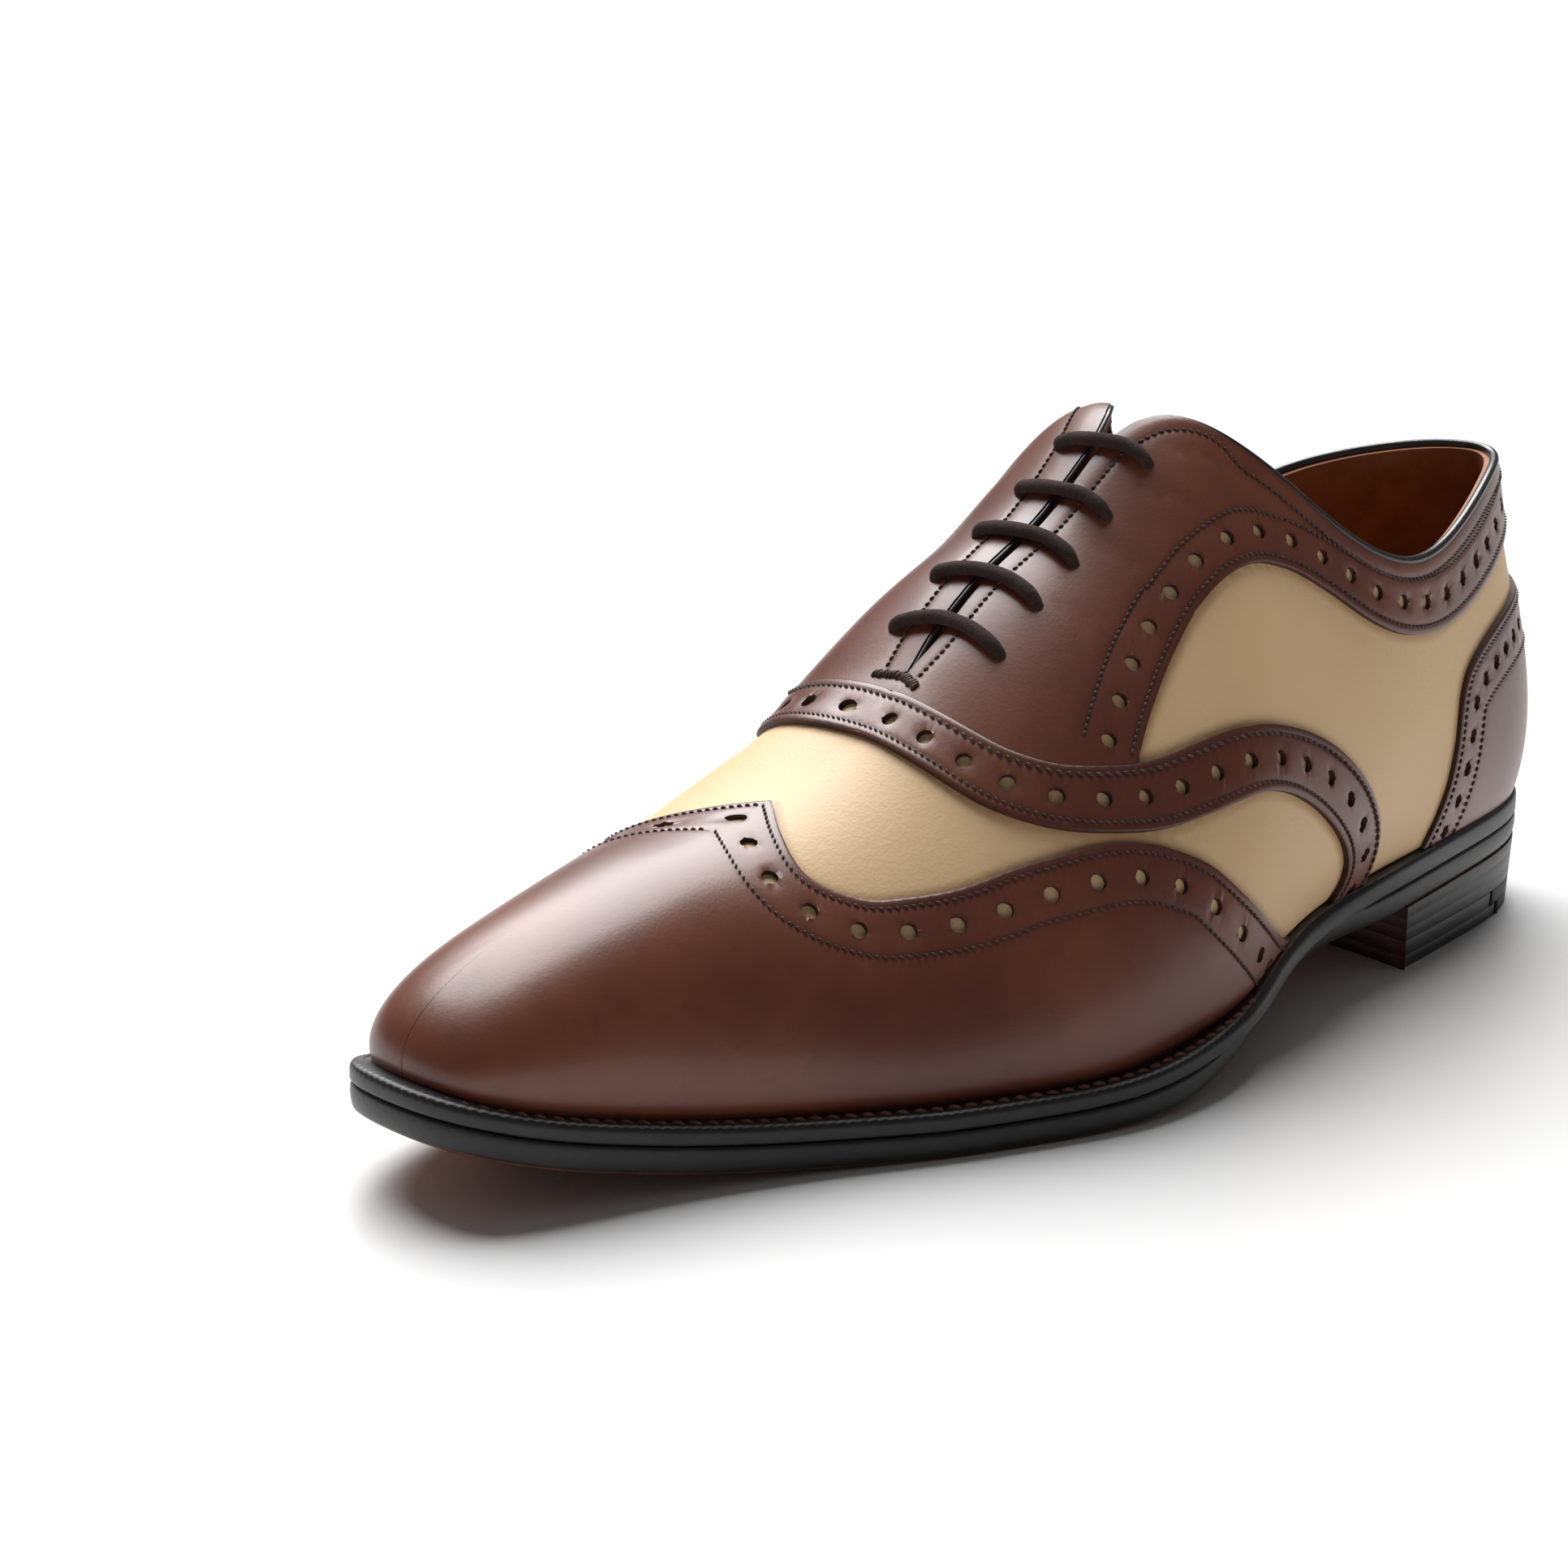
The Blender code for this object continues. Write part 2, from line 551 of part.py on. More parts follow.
def add_sole(leather, edge_leather, rubber):
    t = np.arange(0, PERIOD, COLUMN_STEP)
    outline = LAST.edge(t)
    flat_spot = [x for x, heel, spring in SOLE_LINE if heel == 0 and spring == 0]
    stations = [LENGTH * x for x in np.linspace(0.03, 0.97, 33)] + [LENGTH * x for x in flat_spot]
    add_plate("outsole", outline, sole_bottom, sole_top, bevel, edge_leather, sorted(stations))

    inner = LAST.foot(t)[:, :2] - LAST.outwards(t) * MARGIN
    ring_plate("welt", LAST.inset_edge(t, GAP), inner, lambda x: sole_top(x) + GAP, welt_top,
               edge_leather)

    lining = LAST.foot(t)[:, :2] - LAST.outwards(t) * (WALL + INSOLE_CLEARANCE)
    seat = WALL + 2 * GAP
    add_plate("insole", lining, lambda x: welt_top(x) + seat,
              lambda x: welt_top(x) + seat + INSOLE_THICKNESS, level(0), leather,
              [LENGTH * x for x in np.linspace(0.06, 0.94, 23)])

    rows = np.arange(-4.5, 4.51, 0.25)
    back = LAST.inset_edge(rows, 0.6 * MM)
    back = back[back[:, 0] < HEEL_LENGTH - 1.5 * MM]
    right = np.interp(HEEL_LENGTH, *LAST.edge(np.arange(-6, -3, 0.05))[::-1].T)
    left = np.interp(HEEL_LENGTH, *LAST.edge(np.arange(3, 6, 0.05)).T)
    across = np.linspace(left - 0.6 * MM, right + 0.6 * MM, 9)
    bow = 1 - ((across - across.mean()) / (across[0] - across.mean())) ** 2
    breast = np.column_stack([HEEL_LENGTH - BREAST_HOLLOW * bow, across])
    heel = np.concatenate([back, breast])
    add_plate("heel_stack", heel, level(TOP_PIECE_THICKNESS + GAP),
              lambda x: sole_bottom(x) - GAP, level(HEEL_TAPER * 0.6), edge_leather,
              [HEEL_LENGTH * x for x in (0.15, 0.3, 0.45, 0.6, 0.75, 0.9)])

    drawn_in = heel - heel.mean(0)
    drawn_in = heel - drawn_in / np.linalg.norm(drawn_in, axis=1, keepdims=True) * HEEL_TAPER * 0.6
    halves = []
    for sign, gap in ((-1, GAP / 2), (1, -GAP / 2)):
        halves.append(clip_outline(drawn_in, sign, gap))
    for name, half, surface in zip(("heel_rubber", "top_piece"), halves, (rubber, edge_leather)):
        add_plate(name, half, level(0), level(TOP_PIECE_THICKNESS), level(HEEL_TAPER * 0.4),
                  surface, [])


def clip_outline(outline, sign, gap):
    """The part of the heel outline behind (-1) or before (+1) the slanting rubber joint."""
    def side(p):
        return sign * (p[0] - RUBBER_LENGTH - RUBBER_SLANT * p[1] / HEEL_WIDTH + gap)
    kept = []
    for p, q in zip(outline, np.roll(outline, -1, 0)):
        a, b = side(p), side(q)
        if a > 0:
            kept.append(p)
        if a * b < 0:
            kept.append(p + (q - p) * a / (a - b))
    return np.array(kept)


def add_panels(brown):
    wing = smooth_path(WING_EDGE, 3)
    across_toe = [(t, 1.0) for t in np.arange(12.5, PERIOD - 12.4, 0.5)]
    under_toe = [(t, FEATHER) for t in np.arange(PERIOD - 6, 5.9, -0.5)]
    add_panel("wing_cap", [*wing, *across_toe, *turned_over(wing)[::-1], *under_toe], brown)

    strip = smooth_path(STRIP_EDGE, 3)
    lower = beside(strip, STRIP_WIDTH)
    lower[0, 1] = 1.0
    inner_upper = turned_over(strip)
    inner_lower = turned_over(lower)
    outer_half = [*strip, *lower[::-1]]
    inner_half = [*inner_lower, *inner_upper[::-1]]
    join_over_ridge("vamp_strip", outer_half, inner_half, brown)

    band = smooth_path(BAND_EDGE, 3)
    joint = beside(strip, -2 * GAP)
    joint = joint[joint[:, 0] > BAND_EDGE[0][0]]
    joint[0, 1] = UNJOINED
    strap_top, strap_low = strap_rows(1.0) + 0.07, strap_rows(0.83) + 0.05
    band = band[band[:, 0] > strap_low]
    collar = [(t, 1.0) for t in np.arange(0.5, THROAT_ROW - 0.4, 0.5) if t > strap_top]
    collar.append((THROAT_ROW - 0.1, UNJOINED))
    facing = np.array([(strap_top, 1.0), *collar, *joint, *band, (strap_low, 0.83)])
    add_panel("facing_lateral", facing[::-1], brown)
    add_panel("facing_medial", turned_over(facing), brown)

    front = smooth_path(COUNTER_EDGE, 3)
    bottom = [(t, FEATHER) for t in np.arange(-3, 3.1, 0.5)]
    inner_front = np.column_stack([-front[:, 0], front[:, 1]])
    add_panel("counter", [*front, *inner_front[::-1][1:], *bottom], brown)

    low = COUNTER_EDGE[-1][1] + 0.02
    half_top, half_low = strap_rows(1.0), strap_rows(low)
    strap = [(half_top, 1.0), (half_low, low), (-half_low, low), (-half_top, 1.0)]
    add_panel("back_strap", strap[::-1], brown)


def strap_rows(s):
    """Half the strap's width at this height, in rows of the fan."""
    step = 0.2
    span = np.linalg.norm(LAST.point(step, s) - LAST.point(-step, s))
    return float(STRAP_WIDTH * step / span)


def join_over_ridge(name, outer_half, inner_half, surface):
    """A panel that crosses the ridge: its two halves are laid side by side and welded."""
    halves = [add_panel(name + side, half, surface)
              for side, half in (("_outer", outer_half), ("_inner", inner_half))]
    shape = bmesh.new()
    for half in halves:
        shape.from_mesh(half.data)
    bmesh.ops.remove_doubles(shape, verts=shape.verts, dist=2e-5)
    mesh = bpy.data.meshes.new(name)
    shape.to_mesh(mesh)
    shape.free()
    for half in halves:
        bpy.data.objects.remove(half)
    return thicken(add_object(name, mesh, surface), OVERLAY, 1, even=False)


def add_tongue(surface):
    """The tongue lies under the slit, a little below the inner face of the facings."""
    depth = -(WALL + TONGUE_CLEARANCE)
    rows = np.arange(CREST_ROW + 0.2, THROAT_ROW + 0.9, 0.5)
    shares = np.array([0.72, 0.80, 0.88, 0.95, 1.0])
    points = []
    for t in rows:
        outer = LAST.point(t, shares) + LAST.normal(t, shares) * depth
        inner = LAST.point(PERIOD - t, shares) + LAST.normal(PERIOD - t, shares) * depth
        crest = (outer[-1] + inner[-1]) / 2
        points += [*outer[:-1], crest, *inner[:-1][::-1]]
    across = 2 * len(shares) - 1
    faces = []
    for j in range(len(rows) - 1):
        for i in range(across - 1):
            a = j * across + i
            faces.append((a, a + 1, a + across + 1, a + across))
    made = add_object("tongue", mesh_of("tongue", points, faces), surface)
    return thicken(made, TONGUE_THICKNESS, -1)


def lace_path(outer, inner):
    """A lace bar from one eyelet over the slit to the other, lying on the facings."""
    lift = GAP + OVERLAY + 2 * GAP + LACE_WIDTH / 2
    halves = []
    for row, share in (outer, (PERIOD - inner[0], inner[1])):
        middle = (outer[0] + inner[0]) / 2 if row < TOE_ROW else PERIOD - (outer[0] + inner[0]) / 2
        rows, shares = np.linspace(row, middle, 4), np.linspace(share, 1.0, 4)
        halves.append(LAST.point(rows, shares) + LAST.normal(rows, shares) * lift)
    crest = (halves[0][-1] + halves[1][-1]) / 2
    return smooth_path([*halves[0][:-1], crest, *halves[1][:-1][::-1]], 2)


def add_laces(surface):
    for k, (outer, inner) in enumerate(zip(EYELETS, INNER_EYELETS)):
        sweep(f"lace_bar_{k + 1}", lace_path(outer, inner), LACE_WIDTH, surface, 1)


def add_binding(surface):
    """The bead round the collar, on the rim of the upper."""
    rows = np.linspace(-CREST_ROW, CREST_ROW, 43)
    normal = LAST.normal(rows, 1.0)
    rim = LAST.top(rows) - normal * (WALL / 2)
    up = np.cross(LAST.top(rows + 0.01) - LAST.top(rows - 0.01), normal)
    up /= np.linalg.norm(up, axis=1, keepdims=True)
    sweep("topline_binding", rim + up * (3 * GAP + BINDING_WIDTH / 2), BINDING_WIDTH, surface, 1)


def centre_over_origin():
    """Moves the stand so that the shoe's box is centred on the origin and rests on z = 0."""
    bpy.context.view_layer.update()
    graph = bpy.context.evaluated_depsgraph_get()
    corners = []
    for piece in SHOE.objects:
        evaluated = piece.evaluated_get(graph)
        mesh = evaluated.to_mesh() if piece.type != "EMPTY" else None
        if mesh:
            corners += [evaluated.matrix_world @ v.co for v in mesh.vertices]
            evaluated.to_mesh_clear()
    corners = np.array(corners)
    low, high = corners.min(0), corners.max(0)
    STAND.location -= type(STAND.location)(((low[0] + high[0]) / 2, (low[1] + high[1]) / 2, low[2]))
    bpy.context.view_layer.update()


for old in list(bpy.data.objects):
    bpy.data.objects.remove(old, do_unlink=True)
SHOE = bpy.data.collections.new("spectator_shoe")
bpy.context.scene.collection.children.link(SHOE)
STAND = bpy.data.objects.new("shoe_frame", None)
STAND.rotation_euler = (0, 0, math.pi)
SHOE.objects.link(STAND)

cream_calf = material("cream_calf", (233, 207, 160), 0.45)
brown_calf = material("brown_calf", (107, 63, 46), 0.35, 0.3)
black_edge = material("black_sole_edge", (28, 27, 29), 0.4, 0.2)
tan_lining = material("tan_lining", (190, 130, 80), 0.6)
black_rubber = material("black_rubber", (24, 24, 26), 0.6)
brown_lace = material("brown_lace", (45, 30, 28), 0.85)
black_binding = material("black_binding", (40, 34, 34), 0.4)

add_upper(cream_calf)
add_sole(tan_lining, black_edge, black_rubber)
add_panels(brown_calf)
add_tongue(brown_calf)
add_laces(brown_lace)
add_binding(black_binding)
centre_over_origin()
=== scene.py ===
# Looks for the spectator shoe, left foot. The shape is the same last as in the CAD source,
# evaluated finely: panels are cut in its pattern coordinates and laid on its surface.
import math
import random

import bmesh
import bpy
import numpy as np
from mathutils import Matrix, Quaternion, Vector, kdtree
from mathutils.geometry import delaunay_2d_cdt


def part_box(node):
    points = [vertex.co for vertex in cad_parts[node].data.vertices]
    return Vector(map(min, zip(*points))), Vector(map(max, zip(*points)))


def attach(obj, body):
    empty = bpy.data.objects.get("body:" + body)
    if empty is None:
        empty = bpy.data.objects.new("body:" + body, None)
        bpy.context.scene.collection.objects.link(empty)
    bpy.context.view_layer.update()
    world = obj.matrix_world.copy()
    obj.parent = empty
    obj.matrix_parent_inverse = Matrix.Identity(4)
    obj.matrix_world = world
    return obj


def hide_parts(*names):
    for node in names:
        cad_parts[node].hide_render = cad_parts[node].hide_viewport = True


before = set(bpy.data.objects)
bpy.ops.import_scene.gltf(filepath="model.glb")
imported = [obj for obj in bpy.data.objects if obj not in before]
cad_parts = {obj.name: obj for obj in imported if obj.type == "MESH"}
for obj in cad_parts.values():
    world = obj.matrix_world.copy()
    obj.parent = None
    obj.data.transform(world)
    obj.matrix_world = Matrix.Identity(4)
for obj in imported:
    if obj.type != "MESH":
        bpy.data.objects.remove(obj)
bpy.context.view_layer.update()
mm = 0.001
random.seed(7)

# Sizes of the shoe, as in the CAD source but for the heel's taper, which is slimmer here
shoe = {
    "length": 301 * mm,
    "ballWidth": 105 * mm,
    "heelWidth": 60 * mm,
    "backHeight": 70 * mm,
    "instepHeight": 100 * mm,
    "toeHeight": 28 * mm,
    "heelHeight": 15 * mm,
    "toeSpring": 13.5 * mm,
    "soleThickness": 5 * mm,
    "weltThickness": 3.3 * mm,
    "randThickness": 4.4 * mm,
    "weltReach": 6 * mm,
    "wall": 2 * mm,
    "gap": 0.3 * mm,
    "slitWidth": 3 * mm,
    "heelLength": 70 * mm,
    "heelTaper": 0.9 * mm,
    "breastHollow": 3 * mm,
    "topPiece": 6 * mm,
    "waistBevel": 4.5 * mm,
}

# x share of the length, share of the heel height, share of the toe spring
soleLine = [
    (0.00, 1.00, 0.00), (0.13, 0.95, 0.00), (0.24, 0.88, 0.00), (0.30, 0.79, 0.00),
    (0.35, 0.68, 0.00), (0.40, 0.55, 0.00), (0.45, 0.41, 0.00), (0.50, 0.26, 0.00),
    (0.55, 0.12, 0.00), (0.60, 0.03, 0.00), (0.64, 0.00, 0.00), (0.71, 0.00, 0.00),
    (0.76, 0.00, 0.04), (0.81, 0.00, 0.12), (0.86, 0.00, 0.26), (0.91, 0.00, 0.47),
    (0.95, 0.00, 0.68), (1.00, 0.00, 1.00),
]

# The last's sections: columns and units as in the CAD source
columns = "x lat med inset out up tx tlat tmed tall tallm over overm down".split()
sections = [
    (0.000, -0.083, 0.083, 0.30, 0.10, 0.32, 0.030, -0.033, 0.033, 1.01, 1.01, 0.05, 0.05, 0.36),
    (0.016, 0.142, 0.305, 0.30, 0.10, 0.32, 0.040, 0.067, 0.125, 1.00, 1.015, 0.05, 0.05, 0.36),
    (0.066, 0.325, 0.483, 0.32, 0.10, 0.32, 0.080, 0.192, 0.242, 0.97, 1.015, 0.06, 0.06, 0.36),
    (0.153, 0.450, 0.540, 0.36, 0.09, 0.32, 0.153, 0.350, 0.417, 0.89, 0.965, 0.06, 0.06, 0.34),
    (0.246, 0.525, 0.530, 0.45, 0.12, 0.32, 0.233, 0.440, 0.455, 0.815, 0.86, 0.05, 0.05, 0.32),
    (0.332, 0.480, 0.385, 0.60, 0.20, 0.30, 0.306, 0.350, 0.357, 0.835, 0.858, 0.06, 0.22, 0.27),
    (0.405, 0.480, 0.330, 0.70, 0.16, 0.28, 0.362, 0.210, 0.210, 0.93, 0.94, 0.08, 0.38, 0.16),
    (0.468, 0.520, 0.350, 0.85, 0.10, 0.28, 0.412, 0.047, 0.047, 0.97, 0.97, 0.16, 0.47, 0.02),
    (0.532, 0.550, 0.400, 1.00, 0.08, 0.28, 0.478, 0.000, 0.000, 0.89, 0.89, 0.20, 0.48, 0.01),
    (0.591, 0.550, 0.435, 1.00, 0.07, 0.28, 0.538, 0.000, 0.000, 0.893, 0.893, 0.24, 0.44, 0.02),
    (0.651, 0.508, 0.450, 1.00, 0.06, 0.28, 0.605, 0.000, 0.000, 0.86, 0.86, 0.26, 0.43, 0.05),
    (0.711, 0.450, 0.435, 1.00, 0.055, 0.29, 0.658, 0.000, 0.000, 0.855, 0.855, 0.25, 0.46, 0.05),
    (0.771, 0.378, 0.375, 1.00, 0.05, 0.32, 0.709, 0.000, 0.000, 0.93, 0.93, 0.24, 0.44, 0.03),
    (0.831, 0.315, 0.298, 0.98, 0.05, 0.36, 0.761, 0.000, 0.000, 1.06, 1.06, 0.21, 0.35, 0.02),
    (0.890, 0.265, 0.258, 0.96, 0.05, 0.40, 0.807, 0.000, 0.000, 1.18, 1.18, 0.18, 0.25, 0.02),
    (0.944, 0.222, 0.228, 0.94, 0.05, 0.42, 0.850, 0.000, 0.000, 1.185, 1.185, 0.15, 0.17, 0.02),
    (0.987, 0.145, 0.140, 0.92, 0.05, 0.42, 0.887, 0.000, 0.000, 1.053, 1.053, 0.13, 0.14, 0.02),
    (1.000, 0.008, -0.008, 0.92, 0.05, 0.42, 0.904, 0.000, 0.000, 0.962, 0.962, 0.12, 0.12, 0.02),
]
toeRow = len(sections) - 1
period = 2 * toeRow
throatRow = 10
crestRow = 7
slitEnd = 10.0  # row where the slit closes

# Pattern lines: (row of the fan, share of the way up its section)
wingEdge = [
    (5.62, 0.0), (6.35, 0.083), (6.89, 0.150), (7.34, 0.218), (7.84, 0.304), (8.32, 0.363),
    (8.71, 0.398), (9.32, 0.445), (9.91, 0.490), (10.51, 0.521), (11.02, 0.554), (11.54, 0.595),
    (12.11, 0.705), (12.21, 0.855), (12.05, 1.0),
]
stripEdge = [
    (10.10, 1.0), (9.95, 0.855), (9.68, 0.698), (9.36, 0.600), (9.02, 0.545), (8.57, 0.505),
    (8.01, 0.474), (7.40, 0.435), (6.95, 0.415), (6.50, 0.413), (6.06, 0.421), (5.67, 0.419),
    (5.29, 0.393), (4.97, 0.344), (4.74, 0.280), (4.57, 0.206), (4.47, 0.110), (4.42, 0.0),
]
bandEdge = [
    (8.48, 0.506), (8.22, 0.545), (7.85, 0.579), (7.49, 0.599), (7.14, 0.612), (6.74, 0.633),
    (6.24, 0.681), (5.76, 0.734), (5.18, 0.770), (4.64, 0.772), (4.00, 0.762), (3.33, 0.750),
    (2.68, 0.761), (1.98, 0.787), (1.24, 0.812), (0.00, 0.830),
]
counterEdge = [
    (3.55, 0.0), (3.36, 0.174), (3.27, 0.323), (3.21, 0.474), (3.03, 0.565), (2.46, 0.617),
    (1.32, 0.638), (0.00, 0.655),
]
eyelets = [(7.28, 0.86), (7.79, 0.86), (8.31, 0.85), (8.87, 0.835), (9.34, 0.82)]
innerEyelets = [(7.44, 0.94), (7.87, 0.925), (8.42, 0.915), (9.04, 0.92), (9.54, 0.92)]
# The stitching that turns from the collar down beside the slit
slitSeam = [(6.45, 0.915), (6.75, 0.915), (7.0, 0.918), (7.3, 0.925), (7.7, 0.938), (8.3, 0.948),
            (9.0, 0.953), (9.5, 0.955), (9.93, 0.957)]
# Creases of wear on the outer facing
creases = [
    [(7.05, 0.86), (6.85, 0.84), (6.62, 0.83), (6.45, 0.845)],
    [(7.42, 0.83), (7.30, 0.80), (7.22, 0.765)],
    [(7.95, 0.82), (7.88, 0.79), (7.80, 0.75)],
    [(8.70, 0.80), (8.62, 0.77), (8.60, 0.74)],
]
flat = np.array([18.0, 70.0])  # about how many mm one row and one whole section measure


def smooth(low, high, x):
    u = np.clip((np.asarray(x, float) - low) / (high - low), 0, 1)
    return u * u * (3 - 2 * u)


def unit(vectors):
    return vectors / np.linalg.norm(vectors, axis=-1, keepdims=True)


def localWidth(x):
    return shoe["heelWidth"] + (shoe["ballWidth"] - shoe["heelWidth"]) * smooth(0.20, 0.50, x)


def localHeight(x):
    instep = (shoe["instepHeight"] - shoe["backHeight"]) * smooth(0.18, 0.42, x)
    rear = shoe["backHeight"] + instep
    return rear + (shoe["toeHeight"] - rear) * smooth(0.40, 0.88, x)


def monotone(xs, ys, x):  # cubic through the points that never overshoots them
    xs, ys = np.asarray(xs, float), np.asarray(ys, float)
    h = np.diff(xs)
    d = np.diff(ys) / h
    slope = np.zeros_like(xs)
    for i in range(1, len(xs) - 1):
        if d[i - 1] * d[i] > 0:
            a, b = 2 * h[i] + h[i - 1], h[i] + 2 * h[i - 1]
            slope[i] = (a + b) / (a / d[i - 1] + b / d[i])
    slope[0], slope[-1] = d[0], d[-1]
    x = np.clip(np.asarray(x, float), xs[0], xs[-1])
    k = np.clip(np.searchsorted(xs, x, side="right") - 1, 0, len(h) - 1)
    u = (x - xs[k]) / h[k]
    start = (1 + 2 * u) * (1 - u) ** 2 * ys[k] + u * (1 - u) ** 2 * h[k] * slope[k]
    return start + u * u * (3 - 2 * u) * ys[k + 1] + u * u * (u - 1) * h[k] * slope[k + 1]


def soleBottom(x):  # x is a share of the length, as in the functions below
    xs, heel, spring = zip(*soleLine)
    return shoe["heelHeight"] * monotone(xs, heel, x) + shoe["toeSpring"] * monotone(xs, spring, x)


def soleTop(x):
    return soleBottom(x) + shoe["soleThickness"]


def weltTop(x):
    thinner = (shoe["weltThickness"] - shoe["randThickness"]) * smooth(0.20, 0.55, x)
    return soleTop(x) + shoe["gap"] + shoe["randThickness"] + thinner


def closedBends(points):  # second derivatives of the closed cubic spline
    n = len(points)
    matrix = 4 * np.eye(n) + np.roll(np.eye(n), 1, 0) + np.roll(np.eye(n), -1, 0)
    return np.linalg.solve(matrix, 6 * (np.roll(points, -1, 0) - 2 * points + np.roll(points, 1, 0)))


def closedSpline(knots, t):
    points, bends = knots
    t = np.asarray(t, float) % len(points)
    i = np.floor(t).astype(int) % len(points)
    j = (i + 1) % len(points)
    u = (t - np.floor(t))[..., None]
    a = 1 - u
    return a * points[i] + u * points[j] + ((a**3 - a) * bends[i] + (u**3 - u) * bends[j]) / 6


def lastKnots():
    table = {name: np.array(column) for name, column in zip(columns, zip(*sections))}
    edge, top, handles = [], [], []
    for row in range(period):
        outer = row <= toeRow
        i = row if outer else period - row
        r = {name: column[i] for name, column in table.items()}
        width, topWidth = localWidth(r["x"]), localWidth(r["tx"])
        edge.append((r["x"] * shoe["length"], r["lat"] * width if outer else -r["med"] * width))
        topY = r["tlat"] * topWidth if outer else -r["tmed"] * topWidth
        rise = (r["tall"] if outer else r["tallm"]) * localHeight(r["tx"])
        top.append((r["tx"] * shoe["length"], topY, rise + weltTop(r["tx"])))
        over = r["over"] if outer else r["overm"]
        handles.append((r["inset"], r["out"] * width, r["up"], over * width, r["down"]))
    return [(np.array(rows), closedBends(np.array(rows))) for rows in (edge, top, handles)]


edgeKnots, topKnots, handleKnots = lastKnots()


def soleEdge(t):
    return closedSpline(edgeKnots, t)


def outwards(t):
    along = soleEdge(np.asarray(t) + 1e-3) - soleEdge(np.asarray(t) - 1e-3)
    return unit(np.stack([-along[..., 1], along[..., 0]], -1))


def foot(t):
    inset = closedSpline(handleKnots, t)[..., 0:1] * shoe["weltReach"]
    spot = soleEdge(t) - outwards(t) * inset
    height = weltTop(spot[..., 0] / shoe["length"]) + shoe["gap"]
    return np.concatenate([spot, height[..., None]], -1)


def topLine(t):
    t = np.asarray(t, float)
    point = closedSpline(topKnots, t)
    across = closedSpline(topKnots, period - t)
    row = np.minimum(t % period, period - t % period)
    alike = 0.5 * smooth(crestRow - 1, crestRow, row)[..., None]
    point += (across - point) * alike * (1, 0, 1)
    side = np.where(t % period <= toeRow, 1.0, -1.0)
    opening = shoe["slitWidth"] / 2 * (1 - smooth(slitEnd - 0.5, slitEnd, row))
    half = np.where(row >= slitEnd, 0.0, np.maximum(side * point[..., 1], opening))
    point[..., 1] = np.where(row > crestRow, side * half, point[..., 1])
    return point


def ridgeSlope(t):
    row = toeRow - np.abs(np.asarray(t, float) % period - toeRow)
    near = np.clip(row, throatRow - 1, toeRow - 0.6)
    run = topLine(near + 0.5) - topLine(near - 0.5)
    return run[..., 2] / run[..., 0], smooth(throatRow, throatRow + 2, row)


def skin(t, s):
    t, s = np.broadcast_arrays(np.asarray(t, float), np.asarray(s, float))
    start, top, normal = foot(t), topLine(t), outwards(t)
    handle = closedSpline(handleKnots, t)
    rise = top[..., 2] - start[..., 2]
    low, high = start.copy(), top.copy()
    low[..., :2] += normal * handle[..., 1:2]
    low[..., 2] += handle[..., 2] * rise
    high[..., :2] += normal * handle[..., 3:4]
    slope, share = ridgeSlope(t)
    drop = -handle[..., 4] * rise
    high[..., 2] += drop + (slope * normal[..., 0] * handle[..., 3] - drop) * share
    s = s[..., None]
    a = 1 - s
    return a**3 * start + 3 * a * a * s * low + 3 * a * s * s * high + s**3 * top


def skinNormal(t, s):
    t, s = np.broadcast_arrays(np.asarray(t, float), np.asarray(s, float))
    step = 1e-3
    toe = smooth(toeRow - 2, toeRow, toeRow - np.abs(t % period - toeRow))
    inner = np.clip(s, step, 1 - step - 0.05 * toe)
    along = skin(t + step, inner) - skin(t - step, inner)
    up = skin(t, inner + step) - skin(t, inner - step)
    normal = np.cross(up, along)
    ridge = (s > 1 - step) & (np.abs(t % period - toeRow) <= toeRow - crestRow)
    normal[..., 1] = np.where(ridge, 0.0, normal[..., 1])
    return unit(normal)


def lifted(t, s, height):
    return skin(t, s) + skinNormal(t, s) * np.asarray(height)[..., None]


def skinOf(line):
    return skin(line[:, 0], line[:, 1])


# Where the shoe's own frame lies in the row frame: the CAD sole has the same outline
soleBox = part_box("outsole")
soleOutline = soleEdge(np.arange(0, period, 0.5))
shift = np.array([soleBox[0].x + soleOutline[:, 0].max(), soleBox[1].y + soleOutline[:, 1].min()])


def toRow(points):
    points = np.asarray(points, float)
    return np.concatenate([shift - points[..., :2], points[..., 2:]], -1)


def smoothPath(points, steps):  # Catmull-Rom curve through the points
    p = [np.array(point, float) for point in points]
    p = [2 * p[0] - p[1]] + p + [2 * p[-1] - p[-2]]
    path = []
    for k in range(1, len(p) - 2):
        for u in np.arange(steps) / steps:
            b = (2 * p[k - 1] - 5 * p[k] + 4 * p[k + 1] - p[k + 2]) * u * u
            c = (3 * p[k] - p[k - 1] - 3 * p[k + 1] + p[k + 2]) * u**3
            path.append((2 * p[k] + (p[k + 1] - p[k - 1]) * u + b + c) / 2)
    return np.array(path + [p[-2]])


def runAlong(points):  # how far along the line each of its points lies
    return np.concatenate([[0], np.cumsum(np.linalg.norm(np.diff(points, axis=0), axis=1))])


def evenly(path, spacing):  # the pattern line with its points this far apart on the shoe
    run = runAlong(skinOf(path))
    places = np.linspace(0, run[-1], max(2, int(round(run[-1] / spacing)) + 1))
    return np.column_stack([np.interp(places, run, path[:, k]) for k in (0, 1)])


def eased(path, rounds):  # takes the small kinks out of a line whose points are evenly spaced
    for _ in range(rounds):
        path = np.concatenate([path[:1], (path[:-2] + 2 * path[1:-1] + path[2:]) / 4, path[-1:]])
    return path


